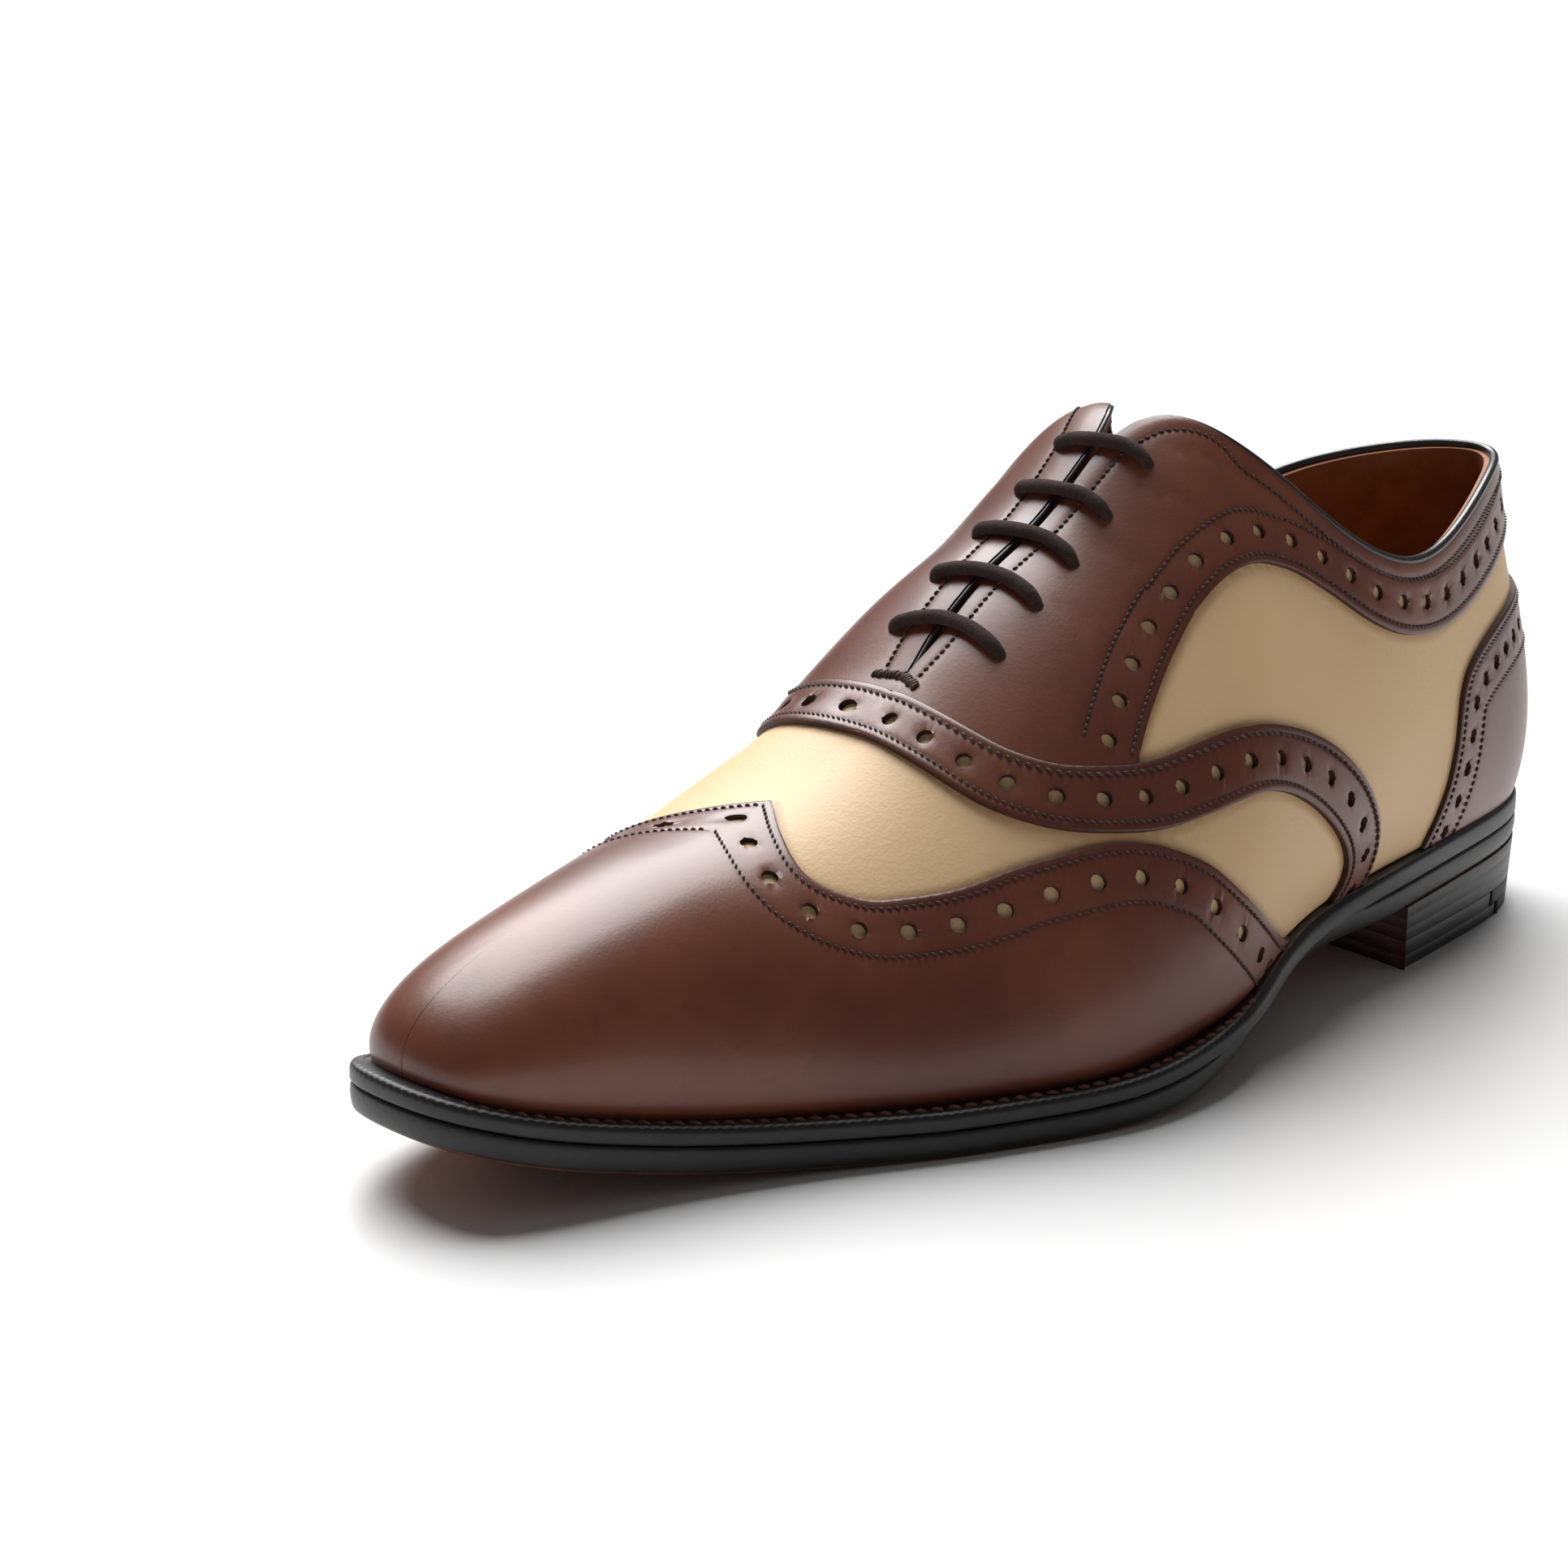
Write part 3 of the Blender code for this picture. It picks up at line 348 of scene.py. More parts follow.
def directions(t, s):
    step = 1e-3
    s = np.clip(s, 2 * step, 1 - 2 * step)
    alongT = (skin(t + step, s) - skin(t - step, s)) / (2 * step)
    alongS = (skin(t, s + step) - skin(t, s - step)) / (2 * step)
    return alongT, alongS


def movedBy(path, offsets):  # pattern points moved by real distances over the surface
    alongT, alongS = directions(path[:, 0], path[:, 1])
    moved = []
    for k in range(len(path)):
        basis = np.column_stack([alongT[k], alongS[k]])
        moved.append(path[k] + np.linalg.lstsq(basis, offsets[k], rcond=None)[0])
    return np.array(moved)


def beside(path, distance):  # the line this far to the right of a pattern line
    alongT, alongS = directions(path[:, 0], path[:, 1])
    run = np.gradient(path, axis=0)
    tangent = unit(alongT * run[:, :1] + alongS * run[:, 1:])
    moved = movedBy(path, np.cross(tangent, skinNormal(path[:, 0], path[:, 1])) * distance)
    inside = (moved[:, 1] <= 1.0) & (moved[:, 1] >= 0.0)
    kept = moved[inside]
    for end, place in ((0, 0), (-1, len(kept))):  # the ends reach the ridge or the welt again
        if abs(path[end, 1] - round(path[end, 1])) < 1e-6 and path[end, 1] in (0.0, 1.0):
            a, b = (kept[1], kept[0]) if end == 0 else (kept[-2], kept[-1])
            share = (path[end, 1] - b[1]) / (b[1] - a[1]) if b[1] != a[1] else 0
            kept = np.insert(kept, place, b + (b - a) * np.clip(share, 0, 3), axis=0)
    kept[:, 1] = np.clip(kept[:, 1], 0, 1)
    return kept


def insideLoop(points, loop):
    x, y = points[:, 0], points[:, 1]
    inside = np.zeros(len(points), bool)
    for p, q in zip(loop, np.roll(loop, -1, 0)):
        crosses = (p[1] > y) != (q[1] > y)
        rise = q[1] - p[1] if q[1] != p[1] else 1.0
        inside ^= crosses & (x < p[0] + (y - p[1]) / rise * (q[0] - p[0]))
    return inside


def treeOf(points):
    tree = kdtree.KDTree(max(len(points), 1))
    for i, point in enumerate(points):
        tree.insert(point, i)
    tree.balance()
    return tree


def treeAlong(lines):  # the points of these pattern lines on the skin
    return treeOf(np.concatenate([skinOf(line) for line in lines]) if lines else [])


def distances(points, tree, far=1.0):
    return np.array([min(tree.find(p)[2] or far, far) for p in points])


def holeLoop(centre, radius, corners=18):  # a punched hole's rim, in pattern coordinates
    alongT, alongS = directions(*np.array(centre, float))
    first = alongT / np.linalg.norm(alongT)
    second = alongS - first * (alongS @ first)
    second /= np.linalg.norm(second)
    turns = np.arange(corners) * 2 * math.pi / corners
    offsets = np.outer(np.cos(turns), first) + np.outer(np.sin(turns), second)
    return movedBy(np.tile(np.array(centre, float), (corners, 1)), offsets * radius)


def cutPattern(outline, lines, holes, spacing):
    # triangles over the outline, in pattern coordinates, with the lines drawn in
    points, edges, faces = [], [], []

    def addLoop(loop):
        first = len(points)
        points.extend(tuple(p) for p in loop * flat)
        order = list(range(first, len(points)))
        after = np.roll(loop, -1, 0)
        area = np.sum(loop[:, 0] * after[:, 1] - after[:, 0] * loop[:, 1])
        faces.append(order if area > 0 else order[::-1])

    addLoop(outline)
    for loop in holes:
        addLoop(loop)
    for line in lines:
        first = len(points)
        points.extend(tuple(p) for p in line * flat)
        edges.extend((i, i + 1) for i in range(first, len(points) - 1))
    near = treeOf([(x, y, 0) for x, y in points])
    low, high = outline.min(0) * flat, outline.max(0) * flat
    across, up = np.meshgrid(np.arange(low[0], high[0], spacing), np.arange(low[1], high[1], spacing))
    across = across + (np.arange(len(up)) % 2)[:, None] * spacing / 2
    grid = np.column_stack([across.ravel(), up.ravel()])
    grid = grid[insideLoop(grid, outline * flat)]
    free = [p for p in grid if near.find((p[0], p[1], 0))[2] > spacing * 0.45]
    points.extend(tuple(p) for p in free)
    cut = delaunay_2d_cdt(points, edges, faces, 1, 1e-4)
    inside = [face for face, source in zip(cut[2], cut[5]) if list(source) == [0]]
    used = sorted({i for face in inside for i in face})
    place = {i: k for k, i in enumerate(used)}
    places = np.array([tuple(cut[0][i]) for i in used]) / flat
    places[:, 1] = np.clip(places[:, 1], 0, 1)
    return places, [tuple(place[i] for i in face) for face in inside]


def ringFaces(count, rings, first=0):  # the faces between closed rings of count points each
    faces = []
    for j in range(rings - 1):
        for i in range(count):
            k = (i + 1) % count
            a, b = first + j * count, first + (j + 1) * count
            faces.append((a + i, a + k, b + k, b + i))
    return faces


def meshObject(name, points, faces, materials, faceMaterials=None, attributes=None, sharp=38):
    mesh = bpy.data.meshes.new(name)
    mesh.from_pydata(toRow(points).tolist(), [], faces)
    for material in materials:
        mesh.materials.append(material)
    if faceMaterials is not None:
        mesh.polygons.foreach_set("material_index", np.array(faceMaterials, np.int32))
    for key, values in (attributes or {}).items():
        layer = mesh.attributes.new(key, "FLOAT", "POINT")
        layer.data.foreach_set("value", np.array(values, np.float32))
    shape = bmesh.new()
    shape.from_mesh(mesh)
    bmesh.ops.remove_doubles(shape, verts=shape.verts, dist=2e-6)
    shape.to_mesh(mesh)
    shape.free()
    mesh.shade_smooth()
    mesh.set_sharp_from_angle(angle=math.radians(sharp))
    made = bpy.data.objects.new(name, mesh)
    bpy.context.scene.collection.objects.link(made)
    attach(made, "root")
    return made


def boundaryOf(faces):
    edges = {}
    for face in faces:
        for a, b in zip(face, face[1:] + face[:1]):
            edges[(a, b)] = True
    return [edge for edge in edges if (edge[1], edge[0]) not in edges]


def layPanel(name, pattern, materials, thickness):
    # Cuts one half of a panel, finds each point's height, and lays it on both sides
    places, faces = cutPattern(*[pattern[key] for key in ("outline", "lines", "holes", "spacing")])
    spots = skinOf(places)
    edges = [evenly(line, 0.3 * mm) for line in pattern["edges"]]
    seams = [evenly(line, 0.3 * mm) for line in pattern["seams"]]
    trees = [treeAlong(lines) for lines in (edges, pattern["holes"], seams, pattern.get("creases", []))]
    toEdge, toHole, toSeam, toCrease = [distances(spots, tree) / mm for tree in trees]
    height = thickness - panels["edgeRound"] * (1 - smooth(0, 0.5, toEdge))
    height -= panels["holeRound"] * (1 - smooth(0, 0.4, toHole))
    height -= panels["seamDepth"] * np.exp(-((toSeam / 0.5) ** 2))
    crease = panels["creaseDepth"] * np.exp(-((toCrease / 0.7) ** 2))  # wear, on the outer side alone
    rim = boundaryOf(faces)
    joined = {i for i, (t, s) in enumerate(places) if s > 1 - 1e-6 and t > slitEnd - 0.01}
    seamed = {i for i, (t, s) in enumerate(places) if t < 1e-6}
    rim = [(a, b) for a, b in rim if not {a, b} <= joined and not {a, b} <= seamed]
    corners = sorted({i for edge in rim for i in edge})
    below = {i: len(places) + k for k, i in enumerate(corners)}
    allPlaces = np.concatenate([places, places[corners]])
    sunk = np.full(len(corners), -panels["sunk"])
    heights = [np.concatenate([height - crease, sunk]), np.concatenate([height, sunk])]
    walls = [(b, a, below[a], below[b]) for a, b in rim]
    points, polygons, kinds = [], [], []
    for side in (0, 1):
        t = period - allPlaces[:, 0] if side else allPlaces[:, 0]
        first = side * len(allPlaces)
        points.append(lifted(t, allPlaces[:, 1], heights[side]))
        for face in faces + walls:
            turned = face if side else face[::-1]
            polygons.append(tuple(i + first for i in turned))
        kinds += [0] * len(faces) + [1] * len(walls)
    attributes = {}
    for key, values in (("toEdge", toEdge), ("toHole", toHole), ("toSeam", toSeam)):
        attributes[key] = np.tile(np.concatenate([values, values[corners]]), 2)
    return meshObject(name, np.concatenate(points), polygons, materials, kinds, attributes)


def hexColour(code):  # sRGB hex to linear
    parts = [int(code[i:i + 2], 16) / 255 for i in (0, 2, 4)]
    return (*[c / 12.92 if c <= 0.04045 else ((c + 0.055) / 1.055) ** 2.4 for c in parts], 1)


def setInputs(tree, node, inputs):
    for socket, value in inputs.items():
        if isinstance(value, bpy.types.NodeSocket):
            tree.links.new(value, node.inputs[socket])
        else:
            node.inputs[socket].default_value = value


def addNode(tree, kind, inputs=None, **settings):
    made = tree.nodes.new("ShaderNode" + kind)
    for key, value in settings.items():
        setattr(made, key, value)
    setInputs(tree, made, inputs or {})
    return made


def newMaterial(name):
    made = bpy.data.materials.new(name)
    made.use_nodes = True
    tree = made.node_tree
    tree.nodes.clear()
    shader = addNode(tree, "BsdfPrincipled", {"Metallic": 0.0})
    out = addNode(tree, "OutputMaterial")
    tree.links.new(shader.outputs[0], out.inputs[0])
    return made, tree, shader


def mixColour(tree, share, first, second):
    return addNode(tree, "Mix", {0: share, 6: first, 7: second}, data_type="RGBA").outputs[2]


def ramp(tree, value, low, high, first=0.0, last=1.0):
    made = addNode(tree, "MapRange", {0: value, 1: low, 2: high, 3: first, 4: last},
                   interpolation_type="SMOOTHSTEP")
    return made.outputs[0]


def noise(tree, place, scale, detail=3.0, roughness=0.5):
    inputs = {"Vector": place, "Scale": scale, "Detail": detail, "Roughness": roughness}
    return addNode(tree, "TexNoise", inputs).outputs[0]


def bump(tree, height, distance, strength, below=None):
    inputs = {"Height": height, "Distance": distance, "Strength": strength}
    if below:
        inputs["Normal"] = below
    return addNode(tree, "Bump", inputs).outputs[0]


# Brown calf: burnished, finely grained, waxed
brown = {
    "colour": "632f20",
    "dark": "36170e",
    "light": "7c432b",
    "roughness": 0.4,
    "coat": 0.35,
}


def brownCalf(name):
    made, tree, shader = newMaterial(name)
    place = addNode(tree, "TexCoord").outputs["Object"]
    clouds = noise(tree, place, 22, 4, 0.6)  # burnish in patches of 20 to 50 mm
    colour = mixColour(tree, ramp(tree, clouds, 0.35, 0.7), hexColour(brown["colour"]),
                       hexColour(brown["light"]))
    streaks = noise(tree, place, 90, 5, 0.65)
    colour = mixColour(tree, ramp(tree, streaks, 0.5, 0.8, 0.0, 0.35), colour, hexColour(brown["dark"]))
    # painted shade: the brown is mixed towards its dark colour near cut edges, holes and seams
    for key, reach, amount in (("toEdge", 1.4, 0.55), ("toHole", 0.9, 0.4), ("toSeam", 0.8, 0.5)):
        distance = addNode(tree, "Attribute", attribute_name=key).outputs["Fac"]
        paintedShade = ramp(tree, distance, 0, reach, amount, 0.0)  # painted shade: darker beside cuts, holes and seams
        colour = mixColour(tree, paintedShade, colour, hexColour(brown["dark"]))
    grain = addNode(tree, "TexVoronoi", {"Vector": place, "Scale": 1900.0}).outputs[0]
    pores = noise(tree, place, 900, 3, 0.6)
    relief = bump(tree, grain, 0.02 * mm, 0.5, bump(tree, pores, 0.05 * mm, 0.6))
    setInputs(tree, shader, {"Base Color": colour, "Normal": relief, "Roughness": brown["roughness"],
                             "IOR": 1.5, "Coat Weight": brown["coat"], "Coat Roughness": 0.25})
    return made


# Cream calf: matt, with a fine pebbled grain
cream = {"colour": "f0cc9c", "light": "e6bd88", "paintedShadeColour": "b98a5c", "roughness": 0.5}


def creamCalf(name):
    made, tree, shader = newMaterial(name)
    place = addNode(tree, "TexCoord").outputs["Object"]
    toBrown = addNode(tree, "Attribute", attribute_name="toBrown").outputs["Fac"]
    clouds = noise(tree, place, 30, 3, 0.5)
    colour = mixColour(tree, ramp(tree, clouds, 0.3, 0.75, 0.0, 0.3), hexColour(cream["colour"]),
                       hexColour(cream["light"]))
    # painted shade: the cream is darker at the foot of the brown panels' edges, fading over 2.5 mm
    colour = mixColour(tree, ramp(tree, toBrown, 0, 2.5, 0.75, 0.0), colour, hexColour(cream["paintedShadeColour"]))
    grain = addNode(tree, "TexVoronoi", {"Vector": place, "Scale": 1500.0}).outputs[0]
    relief = bump(tree, grain, 0.05 * mm, 0.6, bump(tree, noise(tree, place, 500, 4), 0.1 * mm, 0.5))
    setInputs(tree, shader, {"Base Color": colour, "Normal": relief, "Roughness": cream["roughness"],
                             "IOR": 1.48})
    return made


def plainLeather(name, code, roughness, coat=0.0, relief=0.08, scale=700.0, other=None):
    made, tree, shader = newMaterial(name)
    place = addNode(tree, "TexCoord").outputs["Object"]
    patches = noise(tree, place, scale / 6, 4, 0.6)
    colour = mixColour(tree, ramp(tree, patches, 0.35, 0.7), hexColour(code), hexColour(other or code))
    grain = bump(tree, noise(tree, place, scale, 4, 0.6), relief * mm, 0.7)
    setInputs(tree, shader, {"Base Color": colour, "Normal": grain, "Roughness": roughness,
                             "Coat Weight": coat, "Coat Roughness": 0.2})
    return made


brownLeather = brownCalf("brown_calf_leather")
creamLeather = creamCalf("cream_calf_leather")
cutLeather = plainLeather("dyed_cut_leather_edge", "2f1710", 0.6, other="4a2818")
liningLeather = plainLeather("tan_lining_leather", "a9683a", 0.6, other="94562e")
# painted highlight: grey for the light line along the welt's rounded top outer edge
weltEdgeHighlight = plainLeather("welt_edge_painted_highlight", "6a6768", 0.5, other="403c3d")
edgeWax = plainLeather("waxed_black_sole_edge", "111011", 0.46, coat=0.12, relief=0.1, other="1c191b")
heelRubber = plainLeather("black_heel_rubber", "141414", 0.55, relief=0.05, other="1b1b1b")
breastLeather = plainLeather("stained_heel_breast_leather", "3c1f16", 0.5, other="53281a")
soleLeather = plainLeather("oak_bark_sole_leather", "6b3a22", 0.5, other="7d472b")
threadCotton = plainLeather("waxed_cotton_thread", "38241f", 0.6, relief=0.1, scale=3000.0, other="57423b")
weltThread = plainLeather("waxed_linen_welt_thread", "5a3020", 0.6, relief=0.1, scale=3000.0, other="6e4030")
laceCotton = plainLeather("brushed_cotton_lace", "2b1b18", 0.95, relief=0.5, scale=1600.0, other="3a2722")
bindingLeather = plainLeather("glossy_black_binding_leather", "2a2526", 0.3, coat=0.3, other="383031")
tongueLeather = plainLeather("dark_brown_tongue_leather", "2a1814", 0.45, other="38201a")
print("materials made")

# Panels: heights above the upper and rows of stitches and holes, in mm from the edge
panels = {
    "thickness": 1.15 * mm,
    "stripRaised": 0.25 * mm,
    "strapRaised": 0.5 * mm,
    "stripWidth": 12.5 * mm,
    "strapWidth": 6.5 * mm,
    "edgeSeam": 1.7 * mm,
    "innerSeam": 11.0 * mm,
    "holeRow": 6.3 * mm,
    "holeRadius": 1.55 * mm,
    "edgeRound": 0.22 * mm,
    "holeRound": 0.2 * mm,
    "seamDepth": 0.16 * mm,
    "creaseDepth": 0.16 * mm,
    "sunk": 0.15 * mm,
}
wing = eased(evenly(smoothPath(wingEdge, 8), 0.8 * mm), 8)
strip = eased(evenly(smoothPath(stripEdge, 8), 0.8 * mm), 14)
stripLower = eased(evenly(beside(strip, panels["stripWidth"]), 0.8 * mm), 20)
band = eased(evenly(smoothPath(bandEdge, 8), 0.8 * mm), 10)
counterFront = eased(evenly(smoothPath(counterEdge, 8), 0.8 * mm), 8)


def holesAlong(line, count, first=0.5, last=0.5):
    # centres at even distances along a pattern line; first and last are in pitches
    run = runAlong(skinOf(line))
    pitch = run[-1] / (count - 1 + first + last)
    places = (np.arange(count) + first) * pitch
    return np.column_stack([np.interp(places, run, line[:, k]) for k in (0, 1)])


def rims(centres):
    return [holeLoop(centre, panels["holeRadius"]) for centre in centres]


def ringLines(edge, side):  # lines that carry the rounding of a cut edge
    return [beside(edge, side * 0.2 * mm), beside(edge, side * 0.5 * mm)]


def seamLines(seam):
    return [beside(seam, d * mm) for d in (-0.5, 0.5)] + [seam]


def rowsBeside(line, side):  # the two rows of stitches and the row of holes along a cut edge
    return [beside(line, side * panels[key]) for key in ("edgeSeam", "innerSeam", "holeRow")]


def leatherPanel(name, outline, cuts, seams, holes, raised=0.0, **more):
    # cuts: (cut edge, side of it on which the panel lies); more: plainEdges, creases, spacing
    lines = []
    for cut, side in cuts:
        lines += ringLines(cut, side)
    for seam in seams:
        lines += seamLines(seam)
    lines += [evenly(line, 0.8 * mm) for line in more.get("creases", [])]
    pattern = {
        "outline": outline,
        "edges": [cut for cut, side in cuts] + more.get("plainEdges", []),
        "seams": seams,
        "lines": lines,
        "holes": rims(holes),
        "creases": [evenly(line, 0.5 * mm) for line in more.get("creases", [])],
        "spacing": more.get("spacing", 1.5),
    }
    return layPanel(name, pattern, [brownLeather, cutLeather], panels["thickness"] + raised)


def wingPanel():
    seam, inner, row = rowsBeside(wing, -1)
    ridge = np.array([(t, 1.0) for t in np.arange(12.1, toeRow + 0.01, 0.1)])
    under = np.array([(t, 0.0) for t in np.arange(toeRow, 5.65, -0.1)])
    outline = np.concatenate([wing, ridge, under[:-1]])
    holes = holesAlong(row, 16, 0.45, 0.0)
    return leatherPanel("wing_cap_leather", outline, [(wing, -1)], [seam, inner], holes), [seam, inner]


def stripPanel():
    upper, lower = beside(strip, panels["edgeSeam"]), beside(stripLower, -panels["edgeSeam"])
    holes = holesAlong(beside(strip, panels["stripWidth"] / 2), 17, 0.5, 0.2)
    outline = np.concatenate([strip, stripLower[::-1]])
    made = leatherPanel("vamp_strip_leather", outline, [(strip, 1), (stripLower, -1)], [upper, lower],
                        holes, panels["stripRaised"], spacing=1.1)
    return made, [upper, lower]


print("pattern lines made")
wingPiece, wingSeams = wingPanel()
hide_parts("wing_cap")
stripPiece, stripSeams = stripPanel()
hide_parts("vamp_strip")
print("wing and strip made")


def facingPanel():
    # From the strip up to the slit and the collar, and back along the band over the quarter
    joint = beside(strip, -0.1 * mm)
    joint = joint[joint[:, 0] > bandEdge[0][0]]
    rim = np.array([(t, 1.0) for t in np.arange(0, joint[0, 0] - 0.04, 0.05)])
    collarSeam = beside(rim[rim[:, 0] < crestRow - 0.9], -3.2 * mm)
    turned = smoothPath(np.concatenate([collarSeam[-9::4], slitSeam]), 8)
    topSeam = eased(evenly(np.concatenate([collarSeam[:-9], turned]), 0.8 * mm), 6)
    edgeSeam, innerSeam, row = rowsBeside(band, -1)
    seams = [topSeam, edgeSeam, innerSeam[innerSeam[:, 0] > 0.3]]
    made = leatherPanel("facings_leather", np.concatenate([rim, joint, band[1:]]), [(band, -1)], seams,
                        holesAlong(row, 21, 0.1, 0.6), plainEdges=[rim[rim[:, 0] < slitEnd]],
                        creases=[smoothPath(line, 6) for line in creases])
    return made, seams


facingPiece, facingSeams = facingPanel()
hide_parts("facing_lateral", "facing_medial")
print("facings made")


def counterPanel():
    seam, inner, row = rowsBeside(counterFront, 1)
    back = np.array([(0.0, s) for s in np.arange(0.64, 0.0, -0.02)])
    under = np.array([(t, 0.0) for t in np.arange(0.0, 3.5, 0.1)])
    outline = np.concatenate([counterFront, back, under])
    holes = holesAlong(row, 13, 0.3, 0.5)
    made = leatherPanel("counter_leather", outline, [(counterFront, 1)], [seam, inner], holes)
    return made, [seam, inner]


counterPiece, counterSeams = counterPanel()
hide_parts("counter")
print("counter made")


# The upper: cream outside, lined inside
def upperPiece():
    t = np.arange(0, period, 0.1)
    outer = np.linspace(0, 1, 62)
    inner = np.linspace(1, 0, 22)
    rings = [lifted(t, s, 0) for s in outer]
    rings += [lifted(t, s, -shoe["wall"]) for s in inner]
    count = len(t)
    faces, kinds = [], []
    for j in range(len(rings) - 1):
        for i in range(count):
            k = (i + 1) % count
            row = min(t[i], period - t[i])
            if j == len(outer) - 1 and row > slitEnd - 0.05:
                continue
            a, b, c, d = j * count + i, j * count + k, (j + 1) * count + i, (j + 1) * count + k
            faces.append((a, c, d, b))
            kinds.append(0 if j < len(outer) - 1 else 1)
    points = np.concatenate(rings)
    spots = []
    for line in (wing, strip, stripLower, band, counterFront):
        spots += [skinOf(line), skin(period - line[:, 0], line[:, 1])]
    # distance to the brown panels' edges, which carries the painted shade on the cream beside them
    toBrown = distances(points, treeOf(np.concatenate(spots)), 0.02) / mm
    made = meshObject("upper_leather", points, faces, [creamLeather, liningLeather], kinds,
                      {"toBrown": toBrown}, 70)
    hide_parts("upper")


upperPiece()
print("upper made")


def sweep(name, path, radius, material, sides, squash=1.0):
    # a round cord along points of the shoe's own frame
    path = np.asarray(path, float)
    tangent = unit(np.gradient(path, axis=0))
    side = np.cross(tangent, (0, 0, 1.0))
    side /= np.linalg.norm(side, axis=1, keepdims=True) + 1e-12
    up = np.cross(side, tangent)
    turns = np.arange(sides) * 2 * math.pi / sides
    radius = np.broadcast_to(radius, len(path))
    rings = []
    for k, place in enumerate(path):
        wide = np.outer(np.cos(turns), side[k]) + np.outer(np.sin(turns) * squash, up[k])
        rings.append(place + wide * radius[k])
    faces = ringFaces(sides, len(path))
    faces.append(tuple(range(sides))[::-1])
    faces.append(tuple((len(path) - 1) * sides + i for i in range(sides)))
    return meshObject(name, np.concatenate(rings), faces, [material])


# Stitches: each one is a short arched capsule
thread = {
    "pitch": 1.5 * mm,
    "radius": 0.26 * mm,
    "share": 0.74,
    "slant": 0.3,
    "stoutPitch": 1.9 * mm,
    "stoutRadius": 0.36 * mm,
}


def stitchMesh(name, rows, material):
    # rows: (points of the seam, normals there, pitch, radius)
    points, faces = [], []
    sides = 6
    turns = np.arange(sides) * 2 * math.pi / sides
    profile = ((-1, 0.15, -0.5), (-0.7, 0.8, 0.05), (0, 1, 0.3), (0.7, 0.8, 0.05), (1, 0.15, -0.5))
    for line, normals, pitch, radius in rows:
        run = runAlong(line)

        def at(place, values):
            return np.array([np.interp(place, run, values[:, a]) for a in range(3)])

        for k in range(max(int(run[-1] / pitch), 1)):
            middle = (k + 0.5) * pitch
            half = thread["share"] * pitch / 2
            first = len(points)
            normal = at(middle, normals)
            for along, wide, up in profile:
                place = middle + along * half
                tangent = at(place + 1e-4, line) - at(place - 1e-4, line)
                tangent /= np.linalg.norm(tangent) + 1e-12
                across = np.cross(tangent, normal)
                centre = at(place, line) + across * along * half * thread["slant"] + normal * up * radius
                for turn in turns:
                    ring = across * math.cos(turn) + normal * math.sin(turn)
                    points.append(centre + ring * radius * wide)
            faces += ringFaces(sides, len(profile), first)
    return meshObject(name, points, faces, [material], sharp=80)


def seamRows(seams, height, pitch=None, radius=None):
    rows = []
    for seam in seams:
        line = evenly(seam, 0.5 * mm)
        for t in (line[:, 0], period - line[:, 0]):
            rows.append((lifted(t, line[:, 1], height), skinNormal(t, line[:, 1]),
                         pitch or thread["pitch"], radius or thread["radius"]))
    return rows


def panelStitches():
    height = panels["thickness"]
    rows = seamRows(wingSeams + facingSeams + counterSeams, height)
    rows += seamRows(stripSeams[1:], height + panels["stripRaised"])
    rows += seamRows(stripSeams[:1], height + panels["stripRaised"], thread["stoutPitch"],
                     thread["stoutRadius"])
    made = stitchMesh("panel_stitches", rows, threadCotton)


panelStitches()
print("stitches made")


# Laces: straight bars, each going down through its two eyelets
lace = {"radius": 1.6 * mm, "dip": 3.2 * mm}


def laceRoute():
    route = []
    over = panels["thickness"] + lace["radius"] * 0.75
    lifts = [-lace["dip"], -0.4 * mm, over * 0.86, over, over, over]
    ways = np.array([0, 0, 0.16, 0.42, 0.7, 1.0])  # from the eyelet to the middle of the slit
    for k, (outer, inner) in enumerate(list(zip(eyelets, innerEyelets))[::-1]):
        middle = (outer[0] + inner[0]) / 2
        halves = []
        for side, (t, s) in ((1, outer), (-1, inner)):
            rows = t + (middle - t) * ways
            shares = s + (1 - s) * ways
            halves.append(lifted(rows if side > 0 else period - rows, shares, np.array(lifts)))
        crest = (halves[0][-1:] + halves[1][-1:]) / 2
        bar = np.concatenate([halves[0][:-1], crest, halves[1][:-1][::-1]])
        route.append(bar if k % 2 == 0 else bar[::-1])
    return np.concatenate(route)


def lacePiece():
    path = smoothPath(laceRoute(), 6)
    made = sweep("lace_cord", path, lace["radius"], laceCotton, 14, squash=0.85)
    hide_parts(*[f"lace_bar_{k}" for k in range(1, 6)])


lacePiece()


def shellFaces(count, wide, upward):
    # two grids of points, one over the other, and the rim that joins them
    under = count * wide
    faces = []
    for layer in (0, 1):
        for j in range(count - 1):
            for i in range(wide - 1):
                a = layer * under + j * wide + i
                face = (a, a + 1, a + wide + 1, a + wide)
                faces.append(face[::-1] if (layer == 1) != upward else face)
    ring = list(range(wide)) + [j * wide + wide - 1 for j in range(1, count)]
    ring += [(count - 1) * wide + i for i in range(wide - 2, -1, -1)]
    ring += [j * wide for j in range(count - 2, 0, -1)]
    for a, b in zip(ring, ring[1:] + ring[:1]):
        faces.append((a, b, b + under, a + under) if upward else (b, a, a + under, b + under))
    return faces


tongue = {"below": 1.2 * mm, "thickness": 1.6 * mm}


